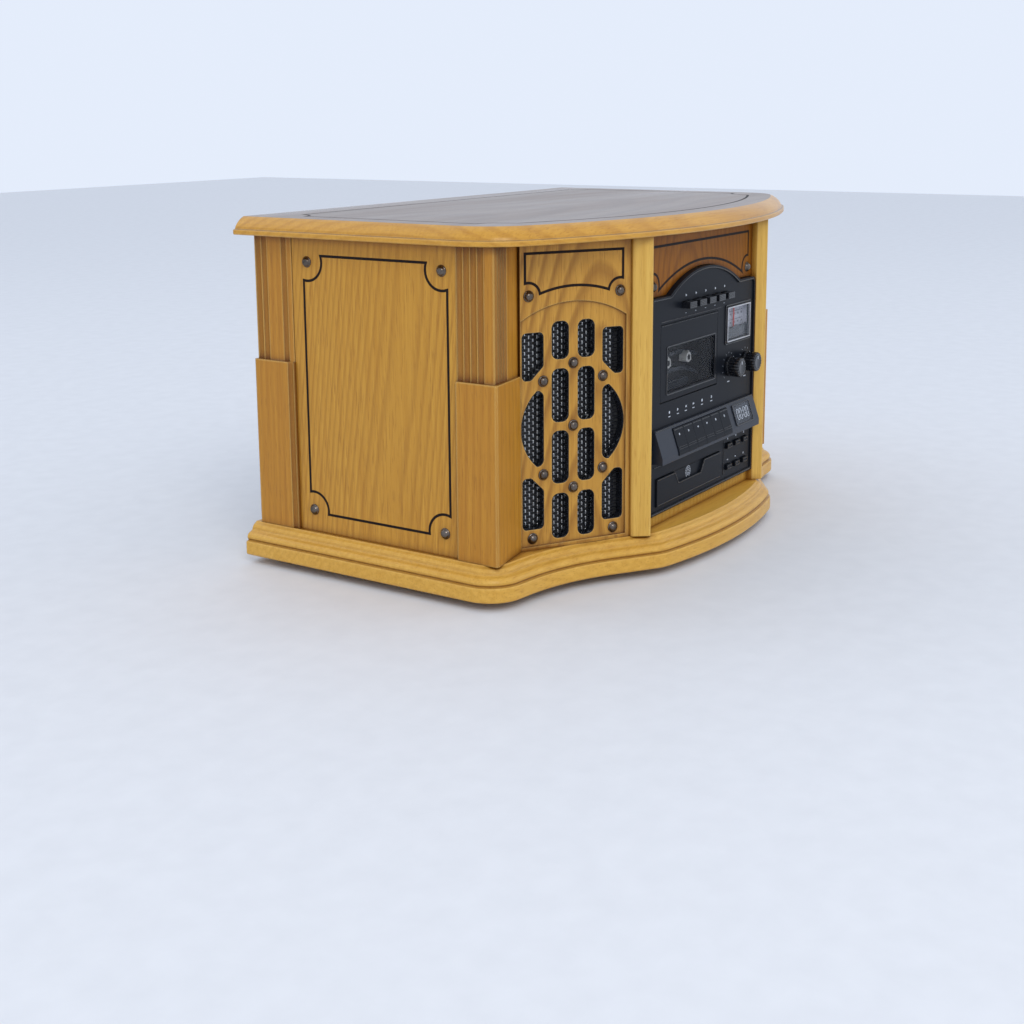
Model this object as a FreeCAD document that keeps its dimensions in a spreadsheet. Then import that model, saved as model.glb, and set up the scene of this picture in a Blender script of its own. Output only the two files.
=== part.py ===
import FreeCAD, Part
import math
import os
import re

from FreeCAD import Placement, Rotation, Vector

# Tabletop record player in a bow-fronted wooden cabinet, millimetres.
# +X is the right-hand side seen from the front, the front faces -Y, and z = 0 is under the feet.

SIZES = {
    # cabinet levels and outer sizes
    "foot_height": 7.5,
    "foot_radius": 14,
    "base_top": 37.5,
    "body_top": 312.5,
    "lid_top": 328.5,
    "top_half": 295.5,
    "rear": 185.5,
    "body_half": 280,
    "body_rear": 179,
    "pilaster_front": -93.5,
    # panels and pilasters
    "panel_recess": 3,
    "panel_thick": 9,
    "pilaster_step": 2.5,
    "pilaster_break": 196,
    "front_pilaster_wide": 49,
    "pilaster_lean": 8.1,
    "corner_ease": 1.6,
    "front_pilaster_deep": 42.5,
    "rear_pilaster_deep": 47,
    "flute_radius": 3.2,
    "flute_offset": 0.9,
    "flute_pitch": 7.1,
    "front_flute_radius": 2.8,
    "front_flute_pitch": 5.7,
    "back_thick": 8.5,
    "back_top": 310.5,
    # angled speaker baffles
    "baffle_start_x": 231,
    "baffle_start_y": -85.2,
    "baffle_wide": 110.7,
    "baffle_thick": 12,
    "baffle_angle": 30.5,
    "field_recess": 1.8,
    "nail_radius": 4.8,
    # front centre
    "centre_half": 114.2,
    "rail_front": -145.4,
    "rail_rear": -136.4,
    "fascia_half": 113.5,
    "fascia_front": -149.2,
    "fascia_thick": 3,
    "fascia_bottom": 49.7,
    "fascia_shoulder": 253.7,
    "fascia_arch_top": 274.8,
    "fascia_arch_half": 76.4,
    "rim_wide": 3,
    "rim_proud": 1.3,
    # controls
    "button_z": 242,
    "button_wide": 14,
    "button_tall": 6,
    "button_out": 8.5,
    "button_pitch": 21,
    "knob_z": 168,
    "knob_radius": 10,
    "knob_out": 15,
    "shaft_radius": 3,
    "key_low": 103.4,
    "key_high": 127.8,
    "key_pitch": 19.6,
    "key_gap": 0.4,
    "play_gap": 0.3,
    # cassette deck
    "door_left": -92.5,
    "door_right": 27.5,
    "door_low": 155,
    "door_high": 227.4,
    "door_thick": 2.8,
    "door_pin_y": -147.9,
    "door_pin_z": 156.4,
    "door_pin_radius": 0.9,
    "hub_z": 186,
    "hub_radius": 5,
    "hub_apart": 42.5,
    # compact disc drawer
    "drawer_left": -99.4,
    "drawer_right": 36.6,
    "drawer_low": 57.4,
    "drawer_high": 83.6,
    "disc_radius": 61,
    # turntable deck
    "deck_top": 264,
    "deck_thick": 6,
    "spindle_x": -62,
    "spindle_y": 18,
    "spindle_radius": 3.55,
    "platter_radius": 105,
    "drive_rim_radius": 85,
    "pulley_radius": 6,
    "pulley_apart": 93,
    "arm_x": 138,
    "arm_y": 112,
    "arm_z": 290,
    "arm_reach": 232,
    "arm_rest_angle": 262,
    # lid hinges
    "hinge_y": 182.4,
    "hinge_z": 309,
    "hinge_barrel": 3,
    "hinge_pin": 1.5,
    "running_gap": 0.05,
}

doc = FreeCAD.newDocument("RecordPlayer")
sheet = doc.addObject("Spreadsheet::Sheet", "Dimensions")
for row, (alias, number) in enumerate(SIZES.items(), start=1):
    sheet.set(f"A{row}", alias)
    sheet.set(f"B{row}", str(number))
    sheet.setAlias(f"B{row}", alias)
doc.recompute()

UP = Vector(0, 0, 1)
TURN = {"x": Rotation(Vector(0, 1, 0), 90), "y": Rotation(Vector(1, 0, 0), -90), "z": Rotation()}
PLANE_ROLE = {"xy": "XY_Plane", "xz": "XZ_Plane", "yz": "YZ_Plane"}

nodes = []


# ---------------------------------------------------------------- helpers

def of(alias):
    """The number in the sheet under an alias."""
    return float(sheet.get(alias))


def bound(formula):
    """A formula of plain aliases and numbers, as an expression on the sheet."""
    def reference(word):
        return "Dimensions." + word.group() if word.group() in SIZES else word.group()
    return re.sub(r"[a-z]\w*", reference, str(formula))


def box(name, xs, ys, zs):
    """Box between two formulas on each axis."""
    solid = doc.addObject("Part::Box", name)
    for side, axis, (low, high) in zip(("Length", "Width", "Height"), "xyz", (xs, ys, zs)):
        solid.setExpression(side, bound(f"({high}) - ({low})"))
        solid.setExpression(f"Placement.Base.{axis}", bound(low))
    return solid


def rod(name, axis, centre, radius, low, high, tip_radius=None):
    """Cylinder, or cone, along an axis; centre holds the two other coordinates, low and high the ends."""
    if tip_radius is None:
        solid = doc.addObject("Part::Cylinder", name)
        solid.setExpression("Radius", bound(radius))
    else:
        solid = doc.addObject("Part::Cone", name)
        solid.setExpression("Radius1", bound(radius))
        solid.setExpression("Radius2", bound(tip_radius))
    solid.setExpression("Height", bound(f"({high}) - ({low})"))
    solid.Placement = Placement(Vector(), TURN[axis])
    places = dict(zip("xyz".replace(axis, ""), centre))
    places[axis] = low
    for letter, formula in places.items():
        solid.setExpression(f"Placement.Base.{letter}", bound(formula))
    return solid


def join(name, pieces):
    """Pieces fused into one solid."""
    solid = doc.addObject("Part::MultiFuse", name)
    solid.Shapes = pieces
    solid.Refine = True
    return solid


def group(name, pieces):
    """Pieces kept as separate solids of one node."""
    solid = doc.addObject("Part::Compound", name)
    solid.Links = pieces
    return solid


def carve(name, base, tools):
    """A base with one or more tools cut out of it."""
    solid = doc.addObject("Part::Cut", name)
    solid.Base = base
    solid.Tool = tools[0] if len(tools) == 1 else group(name + "_tools", tools)
    return solid


def mirrored(name, source):
    """The same piece on the other side of the middle plane."""
    solid = doc.addObject("Part::Mirroring", name)
    solid.Source = source
    solid.Normal = Vector(1, 0, 0)
    return solid


def node(label, solid):
    """Mark a finished sub-part, whose label names its file."""
    solid.Label = label
    nodes.append(solid)
    return solid


def rounded(points, radius):
    """Closed outline through corner points, each rounded by a tangent arc where the radius is over 0."""
    corners = [Vector(x, y, 0) for x, y in points]
    edges = []
    ends = []
    for index, corner in enumerate(corners):
        back = (corners[index - 1] - corner).normalize()
        ahead = (corners[(index + 1) % len(corners)] - corner).normalize()
        if radius <= 0:
            ends.append((corner, corner))
            continue
        half = back.getAngle(ahead) / 2
        reach = radius / math.tan(half)
        middle = (back + ahead).normalize() * (radius / math.sin(half) - radius)
        ends.append((corner + back * reach, corner + ahead * reach))
        edges.append(Part.Arc(corner + back * reach, corner + middle, corner + ahead * reach))
    for index, (start, _) in enumerate(ends):
        before = ends[index - 1][1]
        if (start - before).Length > 1e-6:
            edges.append(Part.LineSegment(before, start))
    return edges


def rectangle(left, right, low, high, radius=0):
    """Upright rectangle outline."""
    return rounded([(left, low), (right, low), (right, high), (left, high)], radius)


def round_hole(x, y, radius):
    """Circle outline."""
    return [Part.Circle(Vector(x, y, 0), Vector(0, 0, 1), radius)]


def trace(start, heading, moves):
    """Edges of a path of straights (length,) and tangent arcs (radius, turn), left turns positive."""
    place = Vector(*start, 0)
    edges = []
    for move in moves:
        ahead = Vector(math.cos(math.radians(heading)), math.sin(math.radians(heading)), 0)
        if len(move) == 1:
            target = place + ahead * move[0]
            edges.append(Part.LineSegment(place, target))
        else:
            radius, turn = move
            side = Vector(-ahead.y, ahead.x, 0) * math.copysign(radius, turn)
            centre = place + side
            points = [Rotation(UP, angle).multVec(side * -1) + centre for angle in (turn / 2, turn)]
            edges.append(Part.Arc(place, points[0], points[1]))
            target = points[1]
            heading += turn
        place = target
    return edges, place


def sketch_on(body, name, plane, outlines, start):
    """Sketch of closed outlines on one of a body's own planes, moved along the plane's normal."""
    sketch = body.newObject("Sketcher::SketchObject", name)
    support = [plane_ for plane_ in body.Origin.OriginFeatures if plane_.Role == PLANE_ROLE[plane]]
    sketch.AttachmentSupport = (support[0], [""])
    sketch.MapMode = "FlatFace"
    sketch.setExpression("AttachmentOffset.Base.z", bound(start))
    for outline in outlines:
        for edge in outline:
            sketch.addGeometry(edge, False)
    return sketch


def plate(name, plane, outlines, start, thick):
    """Body padded along its sketch plane's normal; inner outlines are holes. xz pads towards -Y."""
    body = doc.addObject("PartDesign::Body", name + "_body")
    return pad_on(body, name, plane, outlines, start, thick)


def pad_on(body, name, plane, outlines, start, thick):
    """One more pad on a body."""
    sketch = sketch_on(body, name + "_sketch", plane, outlines, start)
    pad = body.newObject("PartDesign::Pad", name + "_pad")
    pad.Profile = sketch
    pad.setExpression("Length", bound(thick))
    body.Tip = pad
    return body


def pocket_in(body, name, plane, outlines, start, deep):
    """Pocket against the sketch plane's normal: on xz it cuts towards +Y."""
    sketch = sketch_on(body, name + "_sketch", plane, outlines, start)
    pocket = body.newObject("PartDesign::Pocket", name + "_pocket")
    pocket.Profile = sketch
    pocket.setExpression("Length", bound(deep))
    body.Tip = pocket
    return body


def moulded(name, outline, profile):
    """Loft through one outline at several insets and heights, which moulds its front and sides."""
    sections = []
    for index, (inset, height) in enumerate(profile):
        section = doc.addObject("Sketcher::SketchObject", f"{name}_section_{index}")
        section.Placement.Base.z = height
        for edge in outline(inset):
            section.addGeometry(edge, False)
        sections.append(section)
    loft = doc.addObject("Part::Loft", name + "_loft")
    loft.Sections = sections
    loft.Solid = True
    loft.Ruled = True
    return loft


# ---------------------------------------------------------------- cabinet

BASE_CORNER = (34, 84)
BASE_CURVE_IN = (198, -28)
BASE_SLOPE = 45
BASE_CURVE_OUT = (45, 21)
BASE_BOW = (500, 26)
BASE_SHOULDER = 10.26
BASE_CORNER_Y = -73.3
LID_CORNER_RADIUS = 67
LID_CORNER_TURN = 64.5
LID_CORNER_Y = -57.3


def closed_outline(inset, corner_y, moves):
    """Outline down the left side, round the front and up the right side, with a square rear."""
    half = of("top_half") - inset
    left_rear = Vector(-half, of("rear"), 0)
    right_rear = Vector(half, of("rear"), 0)
    left_front = Vector(-half, corner_y, 0)
    front, end = trace((-half, corner_y), -90, moves)
    sides = [Part.LineSegment(left_rear, left_front), Part.LineSegment(end, right_rear)]
    return [sides[0]] + front + [sides[1], Part.LineSegment(right_rear, left_rear)]


def base_outline(inset):
    """Plinth outline: bowed centre, hollow curves under the speakers and rounded corners."""
    def convex(curve):
        return (curve[0] - inset, curve[1])

    def concave(curve):
        return (curve[0] + inset, curve[1])

    left = [convex(BASE_CORNER), (BASE_SHOULDER,), concave(BASE_CURVE_IN), (BASE_SLOPE,),
            convex(BASE_CURVE_OUT)]
    return closed_outline(inset, BASE_CORNER_Y, left + [convex(BASE_BOW)] + left[::-1])


def lid_outline(inset):
    """Lid outline: one long bow between two rounded corners."""
    lean = math.sin(math.radians(90 - LID_CORNER_TURN))
    bow = (of("top_half") - LID_CORNER_RADIUS * (1 - lean)) / lean
    corner = (LID_CORNER_RADIUS - inset, LID_CORNER_TURN)
    return closed_outline(inset, LID_CORNER_Y, [corner, (bow - inset, 180 - 2 * LID_CORNER_TURN), corner])


def plinth():
    """Moulded base: a flat band with eased edges, a half-round bead and a hollow up to the ledge."""
    low = of("foot_height")
    band = low + 14
    top = of("base_top")
    profile = [(2.0, low), (0.6, low + 0.8), (0, low + 2.2), (0, band - 1.6), (0.5, band - 0.4), (2.0, band)]
    bead = [(3.0, band + 0.6), (2.0, band + 2.2), (1.9, band + 4.0), (2.8, band + 5.8), (4.6, band + 7.2),
            (7.5, band + 8.2)]
    hollow = [(9.0, band + 9.4), (9.6, band + 11.6), (11.2, band + 13.6), (14.0, band + 15.0), (15.0, top)]
    return node("base_plinth", moulded("plinth", base_outline, profile + bead + hollow))


def lid_board():
    """Lid: an upright band, a small step and a rounded slope up to the flat top."""
    low = of("body_top")
    top = of("lid_top")
    profile = [(0.8, low), (0, low + 0.8), (0, low + 4.2), (0.6, low + 4.7), (2.4, low + 5.2), (3.4, low + 7.4),
               (5.4, low + 10.0), (8.0, low + 12.4), (11.0, low + 14.4), (13.2, low + 15.4), (14.4, top)]
    return node("lid_board", moulded("lid", lid_outline, profile))


def feet():
    """Four round rubber feet under the plinth."""
    places = [(x, y) for x in (-250, 250) for y in (-62, 150)]
    pads = [rod(f"foot_{index}", "z", place, "foot_radius", "0", "foot_height")
            for index, place in enumerate(places)]
    return node("feet", group("feet_group", pads))


SIDE_FLUTE_INSET = 3.8
FRONT_FLUTE_INSET = 6.1
REAR_FLUTE_YS = (141.4, 165.3, 172.6, 179.7)
REAR_COVE_Y = 135.6


def flutes(name, places, radius):
    """Upright round grooves in a shaft, from the pilaster break to the top."""
    return [rod(f"{name}_flute_{index}", "z", place, radius, "pilaster_break", "body_top")
            for index, place in enumerate(places)]


def front_pilaster():
    """Left front corner post: a plain block under a slimmer fluted shaft, its front leaning back."""
    wide = of("front_pilaster_wide")
    inner = -of("body_half") + wide
    rear = of("pilaster_front") + of("front_pilaster_deep")
    lean = of("pilaster_lean")
    ease = of("corner_ease")

    def section(step):
        left = -of("body_half") + step
        front = of("pilaster_front") + step
        eased = [(left, front + ease), (left + ease, front + lean * ease / wide)]
        return rounded(eased + [(inner, front + lean), (inner, rear), (left, rear)], 0)
    block = plate("pilaster_block", "xy", [section(0)], "base_top", "pilaster_break - base_top")
    shaft = plate("pilaster_shaft", "xy", [section(of("pilaster_step"))], "pilaster_break",
                  "body_top - pilaster_break")
    offset = of("flute_offset")
    side_x = -of("body_half") + of("pilaster_step") - offset
    side = [(side_x, rear - SIDE_FLUTE_INSET - of("flute_pitch") * index) for index in range(4)]
    front = []
    for index in range(4):
        along = FRONT_FLUTE_INSET + of("front_flute_pitch") * index
        face_y = of("pilaster_front") + of("pilaster_step") + lean * along / wide
        front.append((along - of("body_half"), face_y - offset))
    return carve("pilaster_fluted", join("pilaster_solid", [block, shaft]),
                 flutes("side", side, "flute_radius") + flutes("front", front, "front_flute_radius"))


def rear_pilaster():
    """Left rear corner strip: fluted above, plain below, with a cove along its front edge."""
    inner_x = "-body_half + panel_recess + panel_thick"
    front_y = "body_rear - rear_pilaster_deep"
    block = box("rear_block", ("-body_half", inner_x), (front_y, "body_rear"),
                ("base_top", "pilaster_break"))
    shaft = box("rear_shaft", ("-body_half + pilaster_step", inner_x), (front_y, "body_rear"),
                ("pilaster_break", "body_top"))
    side_x = -of("body_half") + of("pilaster_step") - of("flute_offset")
    grooves = flutes("rear", [(side_x, y) for y in REAR_FLUTE_YS], "flute_radius")
    cove = rod("rear_cove", "z", ("-body_half - 0.6", REAR_COVE_Y), "flute_radius", "base_top",
               "pilaster_break")
    return carve("rear_fluted", join("rear_solid", [block, shaft]), grooves + [cove])


def cabinet_sides():
    """Pilasters and the side panels between them."""
    corners = [front_pilaster(), rear_pilaster()]
    node("pilasters", group("pilaster_group", corners + [
        mirrored(f"pilaster_right_{index}", corner) for index, corner in enumerate(corners)]))
    panel = box("side_panel", ("-body_half + panel_recess", "-body_half + panel_recess + panel_thick"),
                ("pilaster_front + front_pilaster_deep", "body_rear - rear_pilaster_deep"),
                ("base_top", "body_top"))
    node("left_side_panel", panel)
    node("right_side_panel", mirrored("side_panel_right", panel))


def back_panel():
    """Rear board with two rows of vent slots."""
    inner = of("body_half") - of("panel_recess") - of("panel_thick")
    outline = rectangle(-inner, inner, of("base_top"), of("back_top"))
    vents = [rectangle(x - 3, x + 3, z, z + 40, 2.5) for x in range(-90, 91, 20) for z in (90, 150)]
    return node("back_panel", plate("back", "xz", [outline] + vents, "-body_rear", "back_thick"))


# ---------------------------------------------------------------- speakers

SLOT_MIDDLE = 53.2
SLOT_OUTER = (2.3, 23.8)
SLOT_INNER = (31.6, 48.8)
INNER_ROWS = ((45.0, 86.5), (95.5, 143.6), (151.3, 199.5), (207.7, 241.6))
SPEAKER_Z = 146
FIELD = (0.6, 106.2, 41, 243.6, 258.8)
NAIL_SPOTS = ((53.2, 203.6), (53.2, 147.2), (53.2, 90.6), (23.2, 189.5), (83.2, 189.5),
              (23.2, 105.3), (83.2, 105.3), (12.2, 48), (94.2, 48))
TOP_NAILS = ((8.4, 265.3), (99.4, 265.3))


def baffle_place():
    """Where the left baffle's own frame stands: x runs along its face and -y points out of it."""
    start = Vector(-of("baffle_start_x"), of("baffle_start_y"), 0)
    return Placement(start, Rotation(UP, -of("baffle_angle")))


def grille_slots(across):
    """Outlines of the seven slots of one half of a baffle; across turns an edge distance into x."""
    near, far = [across(x) for x in SLOT_OUTER]
    notch = across(11.3)
    upper = rounded([(near, 190.6), (notch, 190.6), (far, 202.8), (far, 233), (near, 233)], 4.5)
    lower = rounded([(near, 56), (far, 56), (far, 91), (notch, 103.4), (near, 103.4)], 4.5)
    low, high = 113, 181.2
    tip_low, tip_high = Vector(across(16.8), low, 0), Vector(across(16.8), high, 0)
    belly = Vector(across(SLOT_OUTER[0] - 1), (low + high) / 2, 0)
    wall_low, wall_high = Vector(far, low + 7, 0), Vector(far, high - 7, 0)
    bulge = [
        Part.Arc(tip_low, belly, tip_high),
        Part.Arc(tip_high, Vector(across(22), high - 1.8, 0), wall_high),
        Part.LineSegment(wall_high, wall_low),
        Part.Arc(wall_low, Vector(across(22), low + 1.8, 0), tip_low),
    ]
    left, right = sorted(across(x) for x in SLOT_INNER)
    inner = [rectangle(left, right, row_low, row_high, 6.5) for row_low, row_high in INNER_ROWS]
    return [upper, lower, bulge] + inner


def speaker_baffle():
    """Left angled baffle with an arched field and slots through it."""
    wide = of("baffle_wide")
    outline = rectangle(0, wide, of("base_top"), of("body_top"))
    body = plate("baffle", "xz", [outline], "-baffle_thick", "baffle_thick")
    left, right, low, spring, crown = FIELD
    field = [
        Part.LineSegment(Vector(left, low, 0), Vector(right, low, 0)),
        Part.LineSegment(Vector(right, low, 0), Vector(right, spring, 0)),
        Part.Arc(Vector(right, spring, 0), Vector((left + right) / 2, crown, 0), Vector(left, spring, 0)),
        Part.LineSegment(Vector(left, spring, 0), Vector(left, low, 0)),
    ]
    pocket_in(body, "field", "xz", [field], "0", "field_recess")
    slots = grille_slots(lambda x: x) + grille_slots(lambda x: 2 * SLOT_MIDDLE - x)
    pocket_in(body, "slots", "xz", slots, "0", "baffle_thick")
    body.Placement = baffle_place()
    return body


def placed(solid, placement):
    """Put a fused or carved piece into another frame."""
    solid.Placement = placement
    return solid


def speakers():
    """Both baffles, the perforated sheets behind them and the loudspeakers."""
    left = speaker_baffle()
    node("left_speaker_baffle", left)
    node("right_speaker_baffle", mirrored("baffle_right", left))
    back = "baffle_thick"
    mesh = box("mesh_box", ("1.5", "baffle_wide - 2.5"), (back, f"{back} + 0.8"),
               ("base_top + 2", "252"))
    mesh = placed(group("mesh_sheet", [mesh]), baffle_place())
    middle = "baffle_wide / 2"
    driver = placed(join("driver", [
        rod("driver_flange", "y", (middle, SPEAKER_Z), 44, f"{back} + 0.8", f"{back} + 5"),
        rod("driver_basket", "y", (middle, SPEAKER_Z), 40, f"{back} + 5", f"{back} + 27", 20),
        rod("driver_magnet", "y", (middle, SPEAKER_Z), 24, f"{back} + 27", f"{back} + 39"),
    ]), baffle_place())
    node("speaker_grilles", group("mesh_group", [mesh, mirrored("mesh_right", mesh)]))
    node("speaker_drivers", group("driver_group", [driver, mirrored("driver_right", driver)]))


def half_dome(name, place, direction):
    """Domed nail head standing on a face."""
    dome = doc.addObject("Part::Sphere", name)
    dome.setExpression("Radius", bound("nail_radius"))
    dome.Angle1 = 0
    dome.Placement = Placement(place, Rotation(UP, direction))
    return dome


def dome_nails():
    """Decorative nails of the baffles, the side panels and the valance."""
    frame = baffle_place()
    outward = frame.Rotation.multVec(Vector(0, -1, 0))
    left = []
    for index, (along, height) in enumerate(NAIL_SPOTS + TOP_NAILS):
        depth = of("field_recess") if (along, height) in NAIL_SPOTS else 0
        spot = frame.multVec(Vector(along, depth, height))
        left.append(half_dome(f"baffle_nail_{index}", spot, outward))
    side_x = -of("body_half") + of("panel_recess")
    for index, (y, z) in enumerate([(y, z) for y in (-35.9, 114.2) for z in (58.5, 289.5)]):
        left.append(half_dome(f"side_nail_{index}", Vector(side_x, y, z), Vector(-1, 0, 0)))
    left.append(half_dome("valance_nail", Vector(-102, of("rail_front"), 264), Vector(0, -1, 0)))
    pairs = [mirrored(f"nail_right_{index}", nail) for index, nail in enumerate(left)]
    return node("dome_nails", group("nail_group", left + pairs))


# ---------------------------------------------------------------- front centre

def front_posts():
    """Upright mouldings between each baffle and the black fascia, with an eased front edge."""
    half = of("centre_half")
    outline = [(-135.5, -141.5), (-136.3, -143.6), (-135.6, -145.6), (-127.6, -156), (-126.2, -157.2),
               (-124.6, -157.6), (-123.2, -157), (-half, -151), (-half, -134.5), (-131.4, -134.5)]
    post = plate("post", "xy", [rounded(outline, 0)], "base_top", "body_top - base_top")
    return node("front_posts", group("post_group", [post, mirrored("post_right", post)]))


def arch_radius():
    """Radius of the fascia's arch from its half-width and its rise."""
    half = of("fascia_arch_half")
    rise = of("fascia_arch_top") - of("fascia_shoulder")
    return (half * half + rise * rise) / (2 * rise)


def fascia_outline(inset):
    """Fascia outline: a rectangle with rounded shoulders and an arch in the middle of its top."""
    half = of("fascia_half") - inset
    low = of("fascia_bottom") + inset
    shoulder = of("fascia_shoulder") - inset
    radius = arch_radius() - inset
    crown = of("fascia_arch_top") - inset
    centre = crown - radius
    spring = math.sqrt(radius ** 2 - (shoulder - centre) ** 2)
    corner = 6 - inset / 2
    bend = corner * (1 - math.sqrt(0.5))
    edges = []
    for side in (-1, 1):
        edges.append(Part.LineSegment(Vector(side * half, low, 0),
                                      Vector(side * half, shoulder - corner, 0)))
        edges.append(Part.Arc(Vector(side * half, shoulder - corner, 0),
                              Vector(side * (half - bend), shoulder - bend, 0),
                              Vector(side * (half - corner), shoulder, 0)))
        edges.append(Part.LineSegment(Vector(side * (half - corner), shoulder, 0),
                                      Vector(side * spring, shoulder, 0)))
    edges.append(Part.Arc(Vector(-spring, shoulder, 0), Vector(0, crown, 0), Vector(spring, shoulder, 0)))
    edges.append(Part.LineSegment(Vector(-half, low, 0), Vector(half, low, 0)))
    return edges


def front_rails():
    """Arched wooden valance over the fascia and the narrow rail under it."""
    half = of("centre_half")
    low = of("fascia_shoulder") + 0.4
    radius = arch_radius() + 0.4
    crown = of("fascia_arch_top") + 0.4
    centre = crown - radius
    spring = math.sqrt(radius ** 2 - (low - centre) ** 2)
    top = of("body_top")
    outline = [
        Part.LineSegment(Vector(-half, low, 0), Vector(-spring, low, 0)),
        Part.Arc(Vector(-spring, low, 0), Vector(0, crown, 0), Vector(spring, low, 0)),
        Part.LineSegment(Vector(spring, low, 0), Vector(half, low, 0)),
        Part.LineSegment(Vector(half, low, 0), Vector(half, top, 0)),
        Part.LineSegment(Vector(half, top, 0), Vector(-half, top, 0)),
        Part.LineSegment(Vector(-half, top, 0), Vector(-half, low, 0)),
    ]
    valance = plate("valance", "xz", [outline], "-rail_rear", "rail_rear - rail_front")
    rail = box("low_rail", ("-centre_half", "centre_half"), ("rail_front", "rail_rear"),
               ("base_top", "fascia_bottom - 0.4"))
    return node("front_rails", group("rail_group", [valance, rail]))


BUTTON_START = -43
KNOB_XS = (55, 93.8)
DIAL = (48.5, 100, 194.4, 226.9)
CD_BUTTON_XS = (57, 76, 95)
CD_BUTTON_ZS = (64, 86)
CD_BUTTON_SIZE = (11, 5)
KEY_START = -75


def control_holes():
    """Outlines cut through the fascia for the buttons, knobs, door, dial, keys and disc drawer."""
    gap = of("play_gap")
    half_wide = of("button_wide") / 2 + gap
    half_tall = of("button_tall") / 2 + gap
    middle = of("button_z")
    holes = []
    for index in range(5):
        x = BUTTON_START + of("button_pitch") * index
        holes.append(rectangle(x - half_wide, x + half_wide, middle - half_tall, middle + half_tall))
    holes += [round_hole(x, of("knob_z"), of("shaft_radius") + 0.4) for x in KNOB_XS]
    for x in CD_BUTTON_XS:
        for z in CD_BUTTON_ZS:
            reach_x = CD_BUTTON_SIZE[0] / 2 + gap
            reach_z = CD_BUTTON_SIZE[1] / 2 + gap
            holes.append(rectangle(x - reach_x, x + reach_x, z - reach_z, z + reach_z))
    holes.append(rectangle(of("door_left") - 0.5, of("door_right") + 0.5, of("door_low") - 1,
                           of("door_high") + 0.5))
    holes.append(rectangle(DIAL[0], DIAL[1], DIAL[2], DIAL[3]))
    key_right = KEY_START + 6 * of("key_pitch")
    holes.append(rectangle(KEY_START - 0.4, key_right + 0.4, of("key_low") - 0.5, of("key_high") + 0.5))
    holes.append(rectangle(of("drawer_left") - 0.5, of("drawer_right") + 0.5, of("drawer_low") - 0.5,
                           of("drawer_high") + 0.5))
    return holes


def fascia():
    """Black plastic front with a raised rim, a return wall behind it and holes for every control."""
    body = plate("fascia", "xz", [fascia_outline(0)] + control_holes(), "-fascia_front - fascia_thick",
                 "fascia_thick")
    rim = [fascia_outline(0), fascia_outline(of("rim_wide"))]
    pad_on(body, "fascia_rim", "xz", rim, "-fascia_front", "rim_proud")
    pad_on(body, "fascia_wall", "xz", rim, "-rail_rear - 0.5", "rail_rear + 0.5 - fascia_front - fascia_thick")
    ends = {"left": ("door_left - 3", "door_left"), "right": ("door_right", "door_right + 3")}
    pins = [rod(f"door_pin_hole_{side}", "x", ("door_pin_y", "door_pin_z"),
                "door_pin_radius + running_gap", low, high) for side, (low, high) in ends.items()]
    return node("fascia", carve("fascia_bored", body, pins))


def slope_point(height, proud=0.0):
    """Point of the key housing's sloping front at a height, moved out of it; (y, z)."""
    top_y, top_z = -152, 131
    low_y, low_z = -160.4, 106
    share = (top_z - height) / (top_z - low_z)
    along = Vector(low_y - top_y, low_z - top_z, 0).normalize()
    return (top_y + (low_y - top_y) * share + along.y * proud, height - along.x * proud)


def key_housing():
    """Sloping console across the fascia with one opening for the keys."""
    front = of("fascia_front")
    section = rounded([(front, 131), (-152, 131), (-160.4, 106), (-160.4, 100), (front, 100)], 0)
    body = plate("housing", "yz", [section], "-107.5", "215.5")
    key_right = f"{KEY_START} + 6 * key_pitch"
    opening = box("key_opening", (f"{KEY_START} - 0.4", f"{key_right} + 0.4"), ("-170", "-140"),
                  ("key_low - 0.5", "key_high + 0.5"))
    return node("key_housing", carve("housing_cut", body, [opening]))


def tape_keys():
    """Six sloping piano keys, each with a stem through the fascia."""
    low = of("key_low")
    high = of("key_high")
    nose = slope_point(106, 0.8)
    brow = slope_point(high, 0.8)
    section = rounded([(-141, low), (-141, high), brow, nose, (nose[0], low)], 0)
    for index in range(6):
        start = f"{KEY_START} + key_pitch * {index} + key_gap / 2"
        key = plate(f"key_{index}", "yz", [section], start, "key_pitch - key_gap")
        node(f"tape_key_{index + 1}", key)


def function_buttons():
    """Five oblong source buttons under the arch."""
    for index in range(5):
        x = f"{BUTTON_START} + button_pitch * {index}"
        button = box(f"function_{index}", (f"{x} - button_wide / 2", f"{x} + button_wide / 2"),
                     ("fascia_front - button_out", "-141"),
                     ("button_z - button_tall / 2", "button_z + button_tall / 2"))
        node(f"function_button_{index + 1}", button)


def knob(name, x):
    """Fluted round knob with its shaft."""
    cap = rod(name + "_cap", "y", (x, "knob_z"), "knob_radius", "fascia_front - knob_out",
              "fascia_front - 1")
    grips = []
    for index in range(24):
        angle = math.radians(15 * index)
        reach = of("knob_radius") + 0.25
        place = (x + reach * math.cos(angle), of("knob_z") + reach * math.sin(angle))
        grips.append(rod(f"{name}_grip_{index}", "y", place, 0.75, "fascia_front - knob_out - 1",
                         "fascia_front - 3"))
    shaft = rod(name + "_shaft", "y", (x, "knob_z"), "shaft_radius", "fascia_front - 2", "-134")
    return join(name + "_whole", [carve(name + "_fluted", cap, grips), shaft])


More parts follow.
